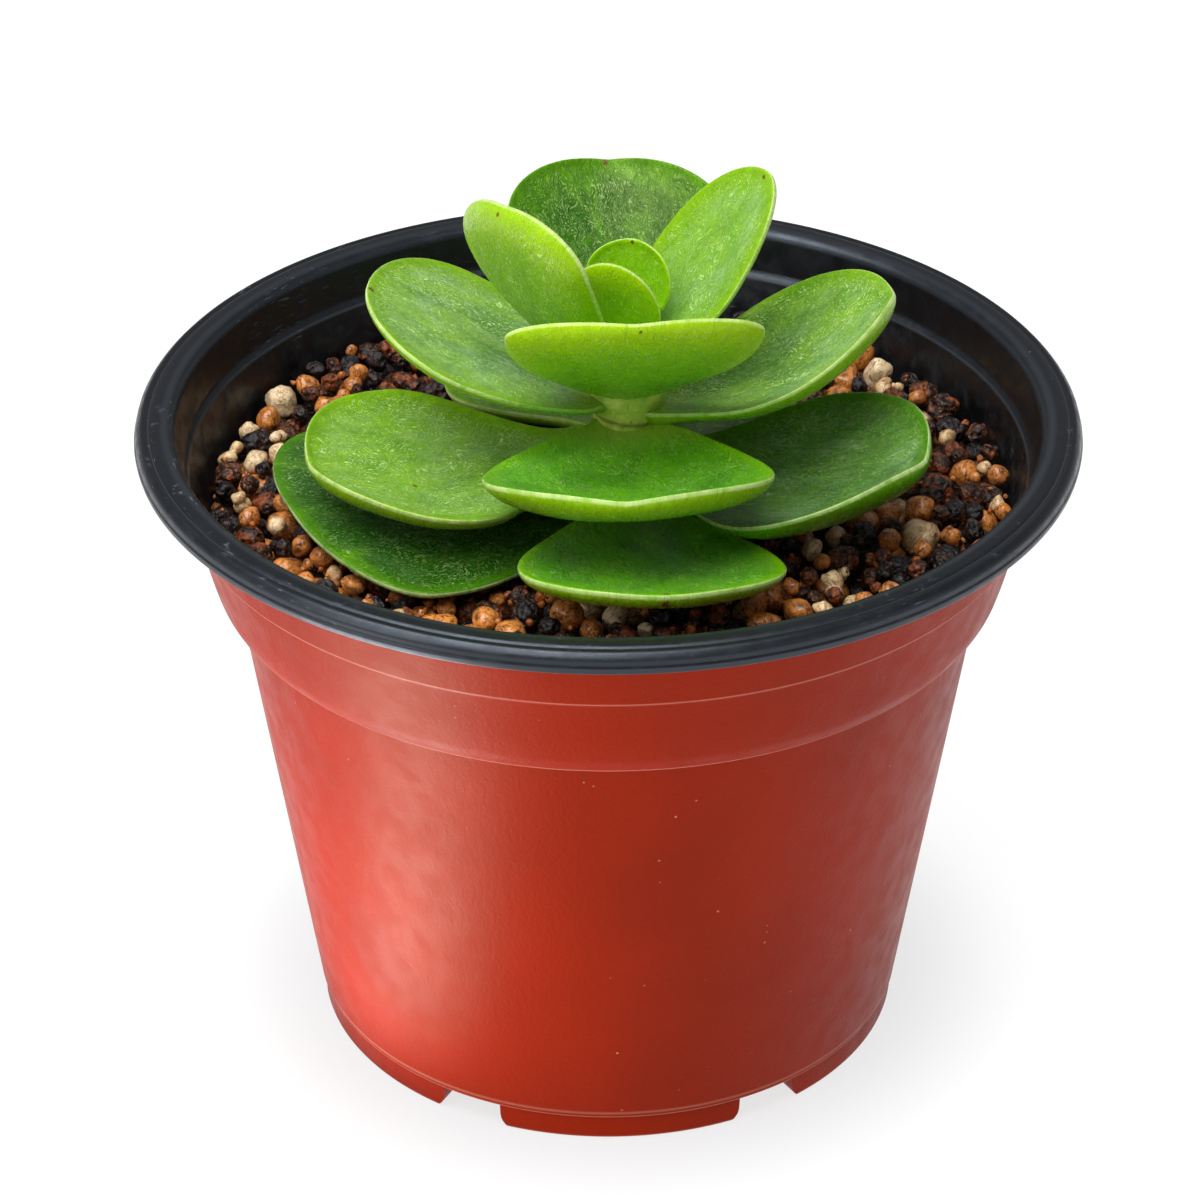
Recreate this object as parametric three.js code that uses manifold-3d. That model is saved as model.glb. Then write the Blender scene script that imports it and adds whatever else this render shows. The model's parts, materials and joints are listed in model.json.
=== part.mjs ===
// A young succulent with stacked spoon-shaped leaves, in a two-tone nursery pot filled with gritty soil.
// All sizes are in millimetres. The origin is the middle of the pot's underside, +Z is up, -Y is the front.

import * as THREE from "three";
import Module from "manifold-3d";

// Sizes shared by the pieces
const GAP = 0.3; // clear space left between two pieces that touch in the real plant
const ROUND = 48; // facets around the pot and the soil

// Pot
const FLOOR_UNDERSIDE = 4;
const FLOOR_TOP = 5;
const FOOT_INNER_RADIUS = 35.9;
const FOOT_RADIUS = 38.5;
const BAND_RADIUS = 38.8;
const LEDGE_HEIGHT = 63.4;
const RING_HEIGHT = 75.4;
const SKIRT_BOTTOM = 83.6;
const RIM_TOP = 86.4;
const RIM_RADIUS = 60;

// Radius and height of the red outer wall, from the foot up to the rolled rim
const OUTER_WALL = [
  [FOOT_INNER_RADIUS, 0],
  [FOOT_RADIUS - 0.5, 0],
  [FOOT_RADIUS, 0.5],
  [FOOT_RADIUS, 3.5],
  [BAND_RADIUS, 3.9],
  [48.0, LEDGE_HEIGHT],
  [49.6, LEDGE_HEIGHT + 0.3],
  [50.5, LEDGE_HEIGHT + 1.6],
  [51.5, LEDGE_HEIGHT + 4.9],
  [53.2, RING_HEIGHT],
  [53.6, RING_HEIGHT + 0.2],
  [55.5, SKIRT_BOTTOM],
];

// The rolled rim, from under its skirt out, over the top and in again
const RIM = [
  [56.4, SKIRT_BOTTOM + 1.5],
  [58.4, SKIRT_BOTTOM + 1.4],
  [59.1, SKIRT_BOTTOM],
  [59.8, SKIRT_BOTTOM],
  [RIM_RADIUS, SKIRT_BOTTOM + 0.7],
  [59.8, SKIRT_BOTTOM + 1.0],
  [59.5, RIM_TOP - 0.6],
  [58.4, RIM_TOP - 0.1],
  [58.1, RIM_TOP - 0.25],
  [57.8, RIM_TOP - 0.1],
  [56.6, RIM_TOP],
  [55.4, RIM_TOP - 0.3],
  [54.7, RIM_TOP - 1.2],
];

// The black inner wall, from the rim down to the floor
const INNER_WALL = [
  [53.7, RING_HEIGHT + 4.1],
  [53.1, RING_HEIGHT + 3.8],
  [51.8, RING_HEIGHT - 0.9],
  [50.1, LEDGE_HEIGHT + 4.2],
  [48.4, LEDGE_HEIGHT + 1.4],
  [47.0, LEDGE_HEIGHT + 1.0],
  [37.8, FLOOR_TOP],
];

// Openings in the pot's foot and floor
const NOTCH_COUNT = 6;
const FIRST_NOTCH = 32.5; // degrees round from the front towards the right
const NOTCH_HALF_WIDTH = 4.2;
const NOTCH_HEIGHT = 3.5;
const NOTCH_FLARE = 0.9; // how much wider the notch is where it meets the ground
const DRAIN_RADIUS = 4;
const DRAIN_CIRCLE = 27;
const DRAIN_ROUND = 24;
const MIDDLE_DRAIN_RADIUS = 5;
const CUT_PAST = 1; // how far a cutter runs past the faces it cuts

// Soil
const SOIL_LEVEL = 75.0;
const SOIL_BUMP = 0.4;
const SOIL_RINGS = 9;

// Stem, standing a little off the pot's middle
const STEM_X = 2;
const STEM_Y = -0.6;
const STEM = [
  [0.6, 46],
  [1.8, 58],
  [2.7, 70],
  [3.3, 79],
  [2.9, 82],
  [3.2, 85.5],
  [2.8, 87.5],
  [3.1, 91],
  [2.6, 93],
  [2.4, 96],
  [1.6, 99],
];
const STEM_ROUND = 20;
const STEM_END = 0.5; // length of the blunt point at each end of the stem

// Leaves
const LEAF_START = 2.5; // where a leaf's own shape begins, measured from the middle of the stem
const LEAF_BASE = 0.16; // width at the stem as a share of the full width
const LEAF_RINGS = 10;
const LEAF_ROUND = 14;
const LEAF_STEPS = 48; // steps used to follow the curve of the leaf's spine
const MARGIN_THINNING = 0.7; // share of the thickness that is lost towards the two margins
const MARGIN_BLUNTNESS = 12; // a high power keeps the margin full until its very edge
const TIP_BLUNTNESS = 6;

// Angles are in degrees. "azimuth" runs from the front towards the right, "rise" is the slope at the stem and
// "curl" what the slope gains by the tip. "widest" is the share of the length where the leaf is widest and
// "waist" how hard it narrows towards the stem. "sweep" bends it sideways and "cup" lifts its two margins.
const LEAVES = {
  leaf_centre_back: { azimuth: 165, height: 98.5, rise: 84, curl: -3, length: 10.2, width: 10.5,
    thick: 1.4, cup: 1.6, roll: -1.8, widest: 0.6, waist: 0.85, sweep: 0 },
  leaf_centre_front: { azimuth: -10, height: 97.7, rise: 65.9, curl: 12, length: 13.3, width: 11.2,
    thick: 1.4, cup: -0.2, roll: -6.3, widest: 0.54, waist: 0.87, sweep: -0.05 },
  leaf_upper_left: { azimuth: -54, height: 94.8, rise: 36.1, curl: 46, length: 30.1, width: 22.4,
    thick: 2, cup: 1.5, roll: 7.7, widest: 0.73, waist: 1.03, sweep: 0.03 },
  leaf_upper_right: { azimuth: 113, height: 93.7, rise: 52.7, curl: 8, length: 28.4, width: 17.2,
    thick: 1.8, cup: 1.4, roll: 8, widest: 0.45, waist: 1.16, sweep: -0.07 },
  leaf_back_top: { azimuth: 181, height: 92.7, rise: 23.3, curl: 13, length: 30.4, width: 28.1,
    thick: 2.2, cup: 4.4, roll: 0.5, widest: 0.62, waist: 1.9, sweep: 0.05 },
  leaf_front_upper: { azimuth: 5, height: 90.8, rise: 28.1, curl: 34, length: 29.2, width: 31.6,
    thick: 1.6, cup: 2.2, roll: -0.6, widest: 0.76, waist: 1.2, sweep: -0.03 },
  leaf_mid_left: { azimuth: -92, height: 89.2, rise: 21.2, curl: 8, length: 32.8, width: 31.7,
    thick: 1.9, cup: 1, roll: 1.4, widest: 0.61, waist: 0.75, sweep: 0 },
  leaf_mid_right: { azimuth: 90, height: 87.5, rise: 3.6, curl: 47, length: 35.7, width: 28,
    thick: 1.8, cup: 3.5, roll: -0.1, widest: 0.56, waist: 1.21, sweep: -0.02 },
  leaf_front_mid: { azimuth: 2, height: 85.6, rise: -6.4, curl: 42, length: 38.2, width: 35.5,
    thick: 2.2, cup: 2.7, roll: 0.1, widest: 0.63, waist: 0.83, sweep: -0.03 },
  leaf_back_mid: { azimuth: -158, height: 83.8, rise: -13.8, curl: 14, length: 32.6, width: 31.6,
    thick: 2.2, cup: 2, roll: -4.5, widest: 0.59, waist: 1.7, sweep: -0.02 },
  leaf_lower_left: { azimuth: -64, height: 82.8, rise: -12.5, curl: 37, length: 40.3, width: 32.3,
    thick: 2.2, cup: 3.1, roll: -3.6, widest: 0.6, waist: 2.35, sweep: 0 },
  leaf_lower_right: { azimuth: 67, height: 81.4, rise: -16, curl: 60, length: 41.6, width: 33.1,
    thick: 2.1, cup: 4.7, roll: 5.7, widest: 0.58, waist: 1.65, sweep: -0.03 },
  leaf_lowest_front: { azimuth: 6, height: 79, rise: -3.7, curl: 24, length: 42, width: 32.7,
    thick: 2.2, cup: 0.9, roll: -3, widest: 0.74, waist: 2.4, sweep: -0.02 },
  leaf_lowest_left: { azimuth: -65, height: 77.5, rise: 5.7, curl: -4, length: 41.6, width: 38.8,
    thick: 2, cup: -1.5, roll: -5.8, widest: 0.72, waist: 1.18, sweep: -0.11 },
  leaf_lowest_back: { azimuth: 180, height: 78.7, rise: -4.1, curl: 9, length: 21.3, width: 14.2,
    thick: 1.8, cup: -0.7, roll: 1, widest: 0.61, waist: 1.5, sweep: 0.02 },
  leaf_lowest_right: { azimuth: 120, height: 78.4, rise: 0, curl: 2, length: 24.4, width: 15.7,
    thick: 1.8, cup: -0.3, roll: 1, widest: 0.61, waist: 1.4, sweep: 0.01 },
};

const RED_PLASTIC = { color: 0xb4371c, roughness: 0.45, metalness: 0 };
const SOIL = { color: 0x4a3020, roughness: 0.95, metalness: 0 };
const STEM_GREEN = { color: 0x9fae45, roughness: 0.55, metalness: 0 };
const LEAF_GREEN = { color: 0x4f8f2a, roughness: 0.35, metalness: 0 };

const radians = THREE.MathUtils.degToRad;

// A closed surface through rings of points, each ring with the same number of points,
// shut by one point before the first ring and one after the last.
function loft(rings, start, end) {
  const count = rings[0].length;
  const points = [start, ...rings.flat(), end];
  const last = points.length - 1;
  const faces = [];
  for (let i = 0; i < count; i++) {
    const next = (i + 1) % count;
    faces.push([0, 1 + next, 1 + i]);
    for (let r = 0; r < rings.length - 1; r++) {
      const low = 1 + r * count;
      const high = low + count;
      faces.push([low + i, low + next, high + next], [low + i, high + next, high + i]);
    }
    const top = last - count;
    faces.push([top + i, top + next, last]);
  }
  return { points, faces };
}

// One ring of points for each [radius, height] pair, about a vertical axis through (x, y).
function turnedRings(profile, round, x = 0, y = 0) {
  return profile.map(([radius, height]) =>
    Array.from({ length: round }, (_, i) => {
      const angle = (2 * Math.PI * i) / round;
      return [x + radius * Math.cos(angle), y + radius * Math.sin(angle), height];
    }));
}

// A turned solid, shut at the heights "start" and "end".
function turned(profile, start, end, round, x = 0, y = 0) {
  return loft(turnedRings(profile, round, x, y), [x, y, start], [x, y, end]);
}

function toManifold(wasm, surface) {
  return new wasm.Manifold(new wasm.Mesh({
    numProp: 3,
    vertProperties: Float32Array.from(surface.points.flat()),
    triVerts: Uint32Array.from(surface.faces.flat()),
  }));
}

function toNode(solid, name, look) {
  const mesh = solid.getMesh();
  const geometry = new THREE.BufferGeometry();
  geometry.setAttribute("position", new THREE.BufferAttribute(Float32Array.from(mesh.vertProperties), 3));
  geometry.setIndex(new THREE.BufferAttribute(Uint32Array.from(mesh.triVerts), 1));
  geometry.computeVertexNormals();
  const node = new THREE.Mesh(geometry, new THREE.MeshStandardMaterial(look));
  node.name = name;
  return node;
}

// One opening through the foot ring, wider and rounded where it meets the ground.
function notchCutter(wasm, azimuth) {
  const side = [
    [NOTCH_HALF_WIDTH + NOTCH_FLARE, -CUT_PAST],
    [NOTCH_HALF_WIDTH + NOTCH_FLARE, 0],
    [NOTCH_HALF_WIDTH + 0.2, 0.8],
    [NOTCH_HALF_WIDTH, 1.8],
    [NOTCH_HALF_WIDTH - 0.2, NOTCH_HEIGHT - 0.6],
    [NOTCH_HALF_WIDTH - 0.9, NOTCH_HEIGHT],
  ];
  const outline = [...side, ...side.map(([across, up]) => [-across, up]).reverse()];
  const angle = radians(azimuth);
  const place = (out, across, up) => [
    out * Math.sin(angle) + across * Math.cos(angle),
    -out * Math.cos(angle) + across * Math.sin(angle),
    up,
  ];
  const near = FOOT_INNER_RADIUS - CUT_PAST;
  const far = FOOT_RADIUS + CUT_PAST;
  const rings = [near, far].map((out) => outline.map(([across, up]) => place(out, across, up)));
  const middle = NOTCH_HEIGHT / 2;
  return toManifold(wasm, loft(rings, place(near, 0, middle), place(far, 0, middle)));
}

function drainCutter(wasm, radius, azimuth, out) {
  const angle = radians(azimuth);
  const low = FLOOR_UNDERSIDE - CUT_PAST;
  const high = FLOOR_TOP + CUT_PAST;
  const x = out * Math.sin(angle);
  const y = -out * Math.cos(angle);
  return toManifold(wasm, turned([[radius, low], [radius, high]], low, high, DRAIN_ROUND, x, y));
}

function makePot(wasm) {
  const profile = [[FOOT_INNER_RADIUS, FLOOR_UNDERSIDE], ...OUTER_WALL, ...RIM, ...INNER_WALL];
  let pot = toManifold(wasm, turned(profile, FLOOR_UNDERSIDE, FLOOR_TOP, ROUND));
  for (let i = 0; i < NOTCH_COUNT; i++) {
    const azimuth = FIRST_NOTCH + (360 * i) / NOTCH_COUNT;
    pot = pot.subtract(notchCutter(wasm, azimuth));
    pot = pot.subtract(drainCutter(wasm, DRAIN_RADIUS, azimuth, DRAIN_CIRCLE));
  }
  return pot.subtract(drainCutter(wasm, MIDDLE_DRAIN_RADIUS, 0, 0));
}

// A repeatable uneven number between -1 and 1 for two whole numbers.
function uneven(a, b) {
  const wave = Math.sin(a * 127.1 + b * 311.7) * 43758.5453;
  return 2 * (wave - Math.floor(wave)) - 1;
}

// The soil follows the inside of the pot up to its own level, where its top is bumpy.
function makeSoil(wasm) {
  const wall = INNER_WALL.filter(([, height]) => height < SOIL_LEVEL - GAP)
    .map(([radius, height]) => [radius - GAP, height + GAP])
    .reverse();
  const [edge] = wall[wall.length - 1];
  const rings = turnedRings([...wall, [edge, SOIL_LEVEL]], ROUND);
  for (let i = 1; i < SOIL_RINGS; i++) {
    const radius = edge * (1 - i / SOIL_RINGS);
    rings.push(Array.from({ length: ROUND }, (_, j) => {
      const angle = (2 * Math.PI * j) / ROUND;
      const bump = SOIL_BUMP * uneven(i, Math.round((j * (SOIL_RINGS - i)) / SOIL_RINGS));
      return [radius * Math.cos(angle), radius * Math.sin(angle), SOIL_LEVEL + bump];
    }));
  }
  const soil = loft(rings, [0, 0, FLOOR_TOP + GAP], [0, 0, SOIL_LEVEL]);
  return toManifold(wasm, soil).subtract(makeStem(wasm, GAP));
}

// The stem and its buried root; "extra" makes it thicker all round.
function makeStem(wasm, extra = 0) {
  const profile = STEM.map(([radius, height]) => [radius + extra, height]);
  const start = STEM[0][1] - extra - STEM_END;
  const end = STEM[STEM.length - 1][1] + extra + STEM_END;
  return toManifold(wasm, turned(profile, start, end, STEM_ROUND, STEM_X, STEM_Y));
}

// Half the width at a share t of the length, as a share of the greatest half width.
function leafHalfWidth(t, leaf) {
  if (t > leaf.widest) {
    const past = (t - leaf.widest) / (1 - leaf.widest);
    return Math.sqrt(Math.max(0, 1 - past * past));
  }
  const before = (leaf.widest - t) / leaf.widest;
  return LEAF_BASE + (1 - LEAF_BASE) * Math.pow(1 - before * before, leaf.waist);
}

// How far out and up the spine has come at a share t of the length.
function spine(t, leaf) {
  const steps = Math.max(1, Math.round(LEAF_STEPS * t));
  const step = (leaf.length * t) / steps;
  let out = 0;
  let up = 0;
  for (let i = 0; i < steps; i++) {
    const slope = radians(leaf.rise + leaf.curl * t * ((i + 0.5) / steps));
    out += step * Math.cos(slope);
    up += step * Math.sin(slope);
  }
  return { out, up, slope: radians(leaf.rise + leaf.curl * t) };
}

// A point of the leaf: t along it, "across" from its spine and "lift" above it.
function leafPoint(t, across, lift, leaf) {
  const at = spine(t, leaf);
  const out = at.out - Math.sin(at.slope) * lift;
  const up = at.up + Math.cos(at.slope) * lift;
  const rise = radians(leaf.rise);
  const roll = radians(leaf.roll);
  const along = out * Math.cos(rise) + up * Math.sin(rise);
  const above = up * Math.cos(rise) - out * Math.sin(rise);
  const side = across * Math.cos(roll) - above * Math.sin(roll);
  const height = across * Math.sin(roll) + above * Math.cos(roll);
  const reach = LEAF_START + along * Math.cos(rise) - height * Math.sin(rise);
  const turn = radians(leaf.azimuth);
  return [
    STEM_X + reach * Math.sin(turn) + side * Math.cos(turn),
    STEM_Y - reach * Math.cos(turn) + side * Math.sin(turn),
    leaf.height + along * Math.sin(rise) + height * Math.cos(rise),
  ];
}

function makeLeaf(wasm, leaf) {
  const rings = [];
  for (let r = 0; r < LEAF_RINGS; r++) {
    const t = Math.sin((Math.PI / 2) * (r / LEAF_RINGS));
    const width = leafHalfWidth(t, leaf);
    const half = (width * leaf.width) / 2;
    const tipFade = Math.sqrt(1 - Math.pow(t, TIP_BLUNTNESS));
    rings.push(Array.from({ length: LEAF_ROUND }, (_, i) => {
      const angle = (2 * Math.PI * i) / LEAF_ROUND;
      const v = Math.cos(angle);
      const body = leaf.thick * (1 - MARGIN_THINNING * v * v) * tipFade;
      const middle = leaf.cup * v * v * width - body / 2;
      const face = (Math.sign(Math.sin(angle)) * body) / 2;
      const lift = middle + face * Math.sqrt(1 - Math.pow(v, MARGIN_BLUNTNESS));
      return leafPoint(t, half * v + leaf.sweep * leaf.length * t * t, lift, leaf);
    }));
  }
  const start = leafPoint(0, 0, -leaf.thick / 2, leaf);
  const end = leafPoint(1, leaf.sweep * leaf.length, 0, leaf);
  return toManifold(wasm, loft(rings, start, end)).subtract(makeStem(wasm, GAP));
}

const wasm = await Module();
wasm.setup();

const plant = new THREE.Group();
plant.name = "potted_succulent";
plant.add(toNode(makePot(wasm), "pot", RED_PLASTIC));
plant.add(toNode(makeSoil(wasm), "soil", SOIL));
plant.add(toNode(makeStem(wasm), "stem", STEM_GREEN));
for (const [name, leaf] of Object.entries(LEAVES)) {
  plant.add(toNode(makeLeaf(wasm, leaf), name, LEAF_GREEN));
}

export default plant;
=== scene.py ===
import json
import math

import bmesh
import bpy
import numpy as np
from bpy.props import FloatProperty, FloatVectorProperty, IntProperty, PointerProperty
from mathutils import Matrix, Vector, noise

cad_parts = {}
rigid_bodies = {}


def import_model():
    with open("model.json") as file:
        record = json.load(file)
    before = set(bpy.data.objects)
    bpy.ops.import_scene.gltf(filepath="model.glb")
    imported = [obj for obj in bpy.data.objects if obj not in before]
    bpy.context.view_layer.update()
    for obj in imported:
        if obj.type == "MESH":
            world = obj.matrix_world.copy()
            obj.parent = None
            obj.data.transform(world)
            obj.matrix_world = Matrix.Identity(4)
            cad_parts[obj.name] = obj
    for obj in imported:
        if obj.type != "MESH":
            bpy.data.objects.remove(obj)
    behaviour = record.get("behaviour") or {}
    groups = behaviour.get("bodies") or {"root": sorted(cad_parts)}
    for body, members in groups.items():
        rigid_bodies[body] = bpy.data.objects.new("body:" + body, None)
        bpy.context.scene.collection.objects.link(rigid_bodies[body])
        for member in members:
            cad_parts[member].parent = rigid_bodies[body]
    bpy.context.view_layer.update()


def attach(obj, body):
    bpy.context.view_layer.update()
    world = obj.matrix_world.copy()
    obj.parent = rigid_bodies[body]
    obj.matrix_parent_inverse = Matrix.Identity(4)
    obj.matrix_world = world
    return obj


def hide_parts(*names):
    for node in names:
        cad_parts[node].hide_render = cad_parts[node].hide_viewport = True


bl_info = {
    "name": "Potted succulent",
    "version": (1, 0, 0),
    "blender": (4, 5, 0),
    "location": "View3D > Sidebar > Succulent",
    "description": "Builds a young succulent, its gritty soil and its nursery pot on the construction model",
    "category": "Add Mesh",
}

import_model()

MM = 0.001
BODY = "root"


def paint(red, green, blue):
    """A screen colour of 0 to 255 as the linear colour that shaders use."""
    def linear(value):
        share = value / 255
        return share / 12.92 if share <= 0.04045 else ((share + 0.055) / 1.055) ** 2.4

    return (linear(red), linear(green), linear(blue), 1.0)


# Sides of the pot as corners of radius, height, rounding and paleness of the painted highlight on the corner,
# in millimetres
POT_ROUND = 256
CORNER_STEPS = 6
RED_SIDE = [
    (0.0, 4.0, 0.0, 0.0),
    (35.7, 4.0, 0.5, 0.0),
    (35.9, 0.0, 0.5, 0.2),
    (38.4, 0.0, 0.45, 0.2),
    (38.45, 3.4, 0.15, 0.0),
    (38.9, 3.7, 0.2, 0.35),
    (39.0, 4.4, 0.3, 0.2),
    (47.95, 63.1, 0.25, 0.0),
    (49.5, 63.6, 0.4, 0.7),
    (50.6, 65.2, 1.0, 0.0),
    (51.5, 68.3, 2.0, 0.0),
    (53.15, 75.15, 0.2, 0.0),
    (53.6, 75.5, 0.25, 0.3),
    (55.45, 83.7, 0.3, 0.0),
    (56.2, 84.9, 0.4, 0.0),
    (58.5, 84.9, 0.3, 0.0),
]
BLACK_SIDE = [
    (59.1, 83.6, 0.25, 0.0),
    (59.85, 83.6, 0.25, 0.3),
    (60.0, 84.4, 0.2, 0.4),
    (59.78, 84.75, 0.12, 0.0),
    (59.75, 85.5, 0.5, 0.2),
    (58.95, 86.3, 0.4, 0.0),
    (58.15, 86.08, 0.12, 0.5),
    (57.75, 86.35, 0.3, 0.0),
    (56.0, 86.4, 0.8, 0.3),
    (54.85, 85.7, 0.7, 0.2),
    (53.95, 80.5, 0.35, 0.0),
    (53.3, 79.75, 0.3, 0.6),
    (52.1, 74.9, 2.0, 0.0),
    (50.6, 67.8, 2.0, 0.0),
    (49.4, 65.2, 1.0, 0.0),
    (48.3, 64.6, 0.5, 0.0),
    (47.0, 64.2, 0.5, 0.0),
    (37.9, 5.0, 1.0, 0.0),
    (0.0, 5.0, 0.0, 0.0),
]
# The soil and its granules touch the wall below this height
INSIDE_TOP = 80.0
SHARP_CORNER = math.radians(32)
# Vertices closer than this are one, in metres
SAME_PLACE = 1e-7

# One side of a notch in the foot, as corners of across, up, rounding and paleness of the painted highlight
NOTCH_SIDE = [(5.6, -1.0, 0.0, 0.0), (5.2, 0.0, 0.3, 0.0), (4.2, 1.1, 1.0, 0.0), (4.1, 3.45, 0.5, 0.0)]
NOTCH_COUNT = 6
FIRST_NOTCH = 32.5
NOTCH_FROM_TO = (34.5, 42.0)
DRAIN_CIRCLE = 27.0
DRAIN_RADIUS = 4.0
MIDDLE_DRAIN_RADIUS = 5.0
DRAIN_FROM_TO = (2.0, 7.0)
DRAIN_ROUND = 48

# The soil's crumbly bed, under the granules; its lumps are width, shift of the noise and height
WALL_GAP = 0.3
BED_TOP = 70.6
BED_SIDE = (5.3, 20, 40, 60, 64.9, 66, 68, 70, BED_TOP)
BED_RINGS = 44
BED_ROUND = 168
BED_LUMPS = ((2.4, 0, 0.75), (0.9, 9, 0.35))

# The stem as rows of radius and height, and the heights of its old leaf scars
STEM_X, STEM_Y = 2.0, -0.6
STEM_ROUND = 64
STEM_SIDE = [
    (0.6, 46.0),
    (1.8, 58.0),
    (2.8, 70.0),
    (3.6, 78.0),
    (3.9, 80.5),
    (3.3, 82.8),
    (3.8, 85.0),
    (4.2, 86.8),
    (4.9, 88.6),
    (5.2, 90.2),
    (3.6, 92.6),
    (3.2, 94.0),
    (2.5, 95.8),
    (2.4, 97.4),
    (1.9, 99.2),
    (0.9, 100.0),
]
STEM_ROWS = np.concatenate([np.linspace(46, 76, 12), np.linspace(76.4, 100, 80)])
STEM_ENDS = (45.6, 100.25)
STEM_SOFTENING = (0.1, 0.2, 0.4, 0.2, 0.1)
# The stem's swellings: their height, and the scales of their noise round and up the stem
STEM_BULGE = 0.09
BULGES_ROUND = 1.3
BULGES_UP = 3.5
LEAF_SCARS = (81.0, 86.3, 91.5, 95.0)
SCAR_TILT = 0.6
SCAR_HEIGHT = 0.28
SCAR_DEPTH = 0.035
SCAR_DARK = 0.8

# Leaves, with nearly the same measures as in the construction model, in millimetres and degrees. They start
# LEAF_START from the middle of the stem, and their root lies LEAF_ROOT behind that
LEAF_START = 2.5
LEAF_ROOT = 1.2
# Half the width at the base, as a share of the greatest
LEAF_BASE = 0.16
# The margin's crest lies this far under the face, and reaches this far in; the hull below reaches further in
CREST = 0.24
CREST_REACH = 0.32
HULL = 4.0
# How far the base widens where it clasps the stem, and how far along the blade
CLASP = 3.2
CLASP_REACH = 4.4
# The raised margin of the face and the dip inside it: height, way in from the outline and width
LIP = (0.06, 0.4, 0.25)
DIP = (0.05, 1.5, 0.7)
# Uneven swells of the blade: their width, shift of the noise, and the divider of their height
SWELLS = ((9, 0, 1), (4, 5, 3))
OUTLINE_STEP = 1.1
# Each leaf takes its skin from another stretch of the same clouds
LEAF_APART = 60
LEAF_SHAPE = ("azimuth", "height", "rise", "curl", "length", "width", "thick", "cup", "roll", "widest",
              "waist", "sweep")
LEAVES = {
    "centre_back": (165, 98.5, 84, -3, 10.2, 10.5, 1.4, 1.6, -1.8, 0.6, 0.85, 0),
    "centre_front": (-10, 97.7, 65.9, 12, 13.3, 11.2, 1.4, -0.2, -6.3, 0.54, 0.87, -0.05),
    "upper_left": (-54, 94.8, 36.1, 46, 30.1, 22.4, 2, 1.5, 7.7, 0.73, 1.03, 0.03),
    "upper_right": (113, 93.7, 52.7, 8, 28.4, 17.2, 1.8, 1.4, 8, 0.45, 1.16, -0.07),
    "back_top": (181, 92.7, 23.3, 13, 30.4, 28.1, 2.2, 4.4, 0.5, 0.62, 1.9, 0.05),
    "front_upper": (5, 92.3, 24, 34, 29.2, 31.6, 1.6, 2.2, -0.6, 0.76, 0.62, -0.03),
    "mid_left": (-92, 89.2, 21.2, 8, 32.8, 31.7, 1.9, 1, 1.4, 0.61, 0.75, 0),
    "mid_right": (90, 87.5, 3.6, 47, 35.7, 28, 1.8, 3.5, -0.1, 0.56, 1.21, -0.02),
    "front_mid": (2, 85.6, -6.4, 42, 38.2, 35.5, 2.2, 2.7, 0.1, 0.63, 0.83, -0.03),
    "back_mid": (-158, 83.8, -13.8, 14, 32.6, 31.6, 2.2, 2, -4.5, 0.59, 1.7, -0.02),
    "lower_left": (-69, 83.0, -12.2, 37, 40.3, 32.7, 2.2, 3.1, -3.6, 0.6, 2.36, 0),
    "lower_right": (66, 81.1, -15.8, 58, 41.7, 33.4, 2.1, 4.6, 4.6, 0.56, 1.78, -0.03),
    "lowest_front": (6, 79, -3.7, 24, 42, 32.7, 2.2, 0.9, -3, 0.74, 2.4, -0.02),
    "lowest_left": (-65, 77.5, 5.7, -4, 41.6, 38.8, 2, -1.5, -5.8, 0.72, 1.18, -0.11),
    "lowest_back": (180, 78.7, -4.1, 9, 21.3, 14.2, 1.8, -0.7, 1, 0.61, 1.5, 0.02),
    "lowest_right": (120, 78.4, 0, 2, 24.4, 15.7, 1.8, -0.3, 1, 0.61, 1.4, 0.01),
}
# Which skin each leaf has, how deep its green is within that skin, and how strong its painted bluish sheen is
LEAF_SKIN = {
    "centre_back": ("heart", 0.1, 0.0),
    "centre_front": ("heart", 0.3, 0.0),
    "upper_left": ("young", 0.0, 0.1),
    "upper_right": ("young", 0.0, 0.7),
    "front_upper": ("heart", -0.1, 0.0),
    "back_top": ("old", 0.55, 0.03),
    "mid_left": ("grown", 0.2, 0.8),
    "mid_right": ("grown", 0.4, 0.45),
    "front_mid": ("bright", 0.1, 0.0),
    "back_mid": ("grown", 0.3, 1.0),
    "lower_left": ("grown", -0.15, 0.35),
    "lower_right": ("old", 0.1, 0.5),
    "lowest_front": ("bright", 0.25, 0.05),
    # This leaf's deepest old green also paints the shade it lies in under the leaves above
    "lowest_left": ("old", 1.0, 0.05),
    "lowest_back": ("old", 0.5, 0.3),
    "lowest_right": ("old", 0.5, 0.3),
}
# How the deep green and the margin differ in each skin, and how strongly its wax ridges are paled, partly as
# wax and partly as painted glints
LEAF_LOOKS = {
    "heart": ((0.55, 0.75, 0.5), (1.0, 1.0, 0.6), 0.3),
    "young": ((0.5, 0.72, 0.3), (0.85, 0.93, 0.6), 0.6),
    # The bright skin's more saturated green paints the shade that the front leaves lie in
    "bright": ((0.4, 0.6, 0.4), (0.8, 0.92, 0.5), 0.4),
    "grown": ((0.3, 0.52, 0.3), (0.72, 0.86, 0.6), 0.8),
    "old": ((0.15, 0.37, 0.3), (0.34, 0.62, 0.5), 0.3),
}
# Brown flecks on the blades: along, across, radius
FLECKS = {
    "upper_left": (29.3, 0.0, 0.25),
    "upper_right": (27.5, 0.0, 0.28),
    "centre_back": (9.8, 0.0, 0.25),
    "back_top": (29.8, 0.5, 0.4),
    "front_upper": (28.6, 0.4, 0.2),
    "mid_left": (32.2, 0.0, 0.4),
    "lowest_front": (41.3, 0.6, 0.55),
    "lower_left": (27.0, 3.0, 0.3),
}
NO_FLECK = (-99.0, 0.0, 0.1)
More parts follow.
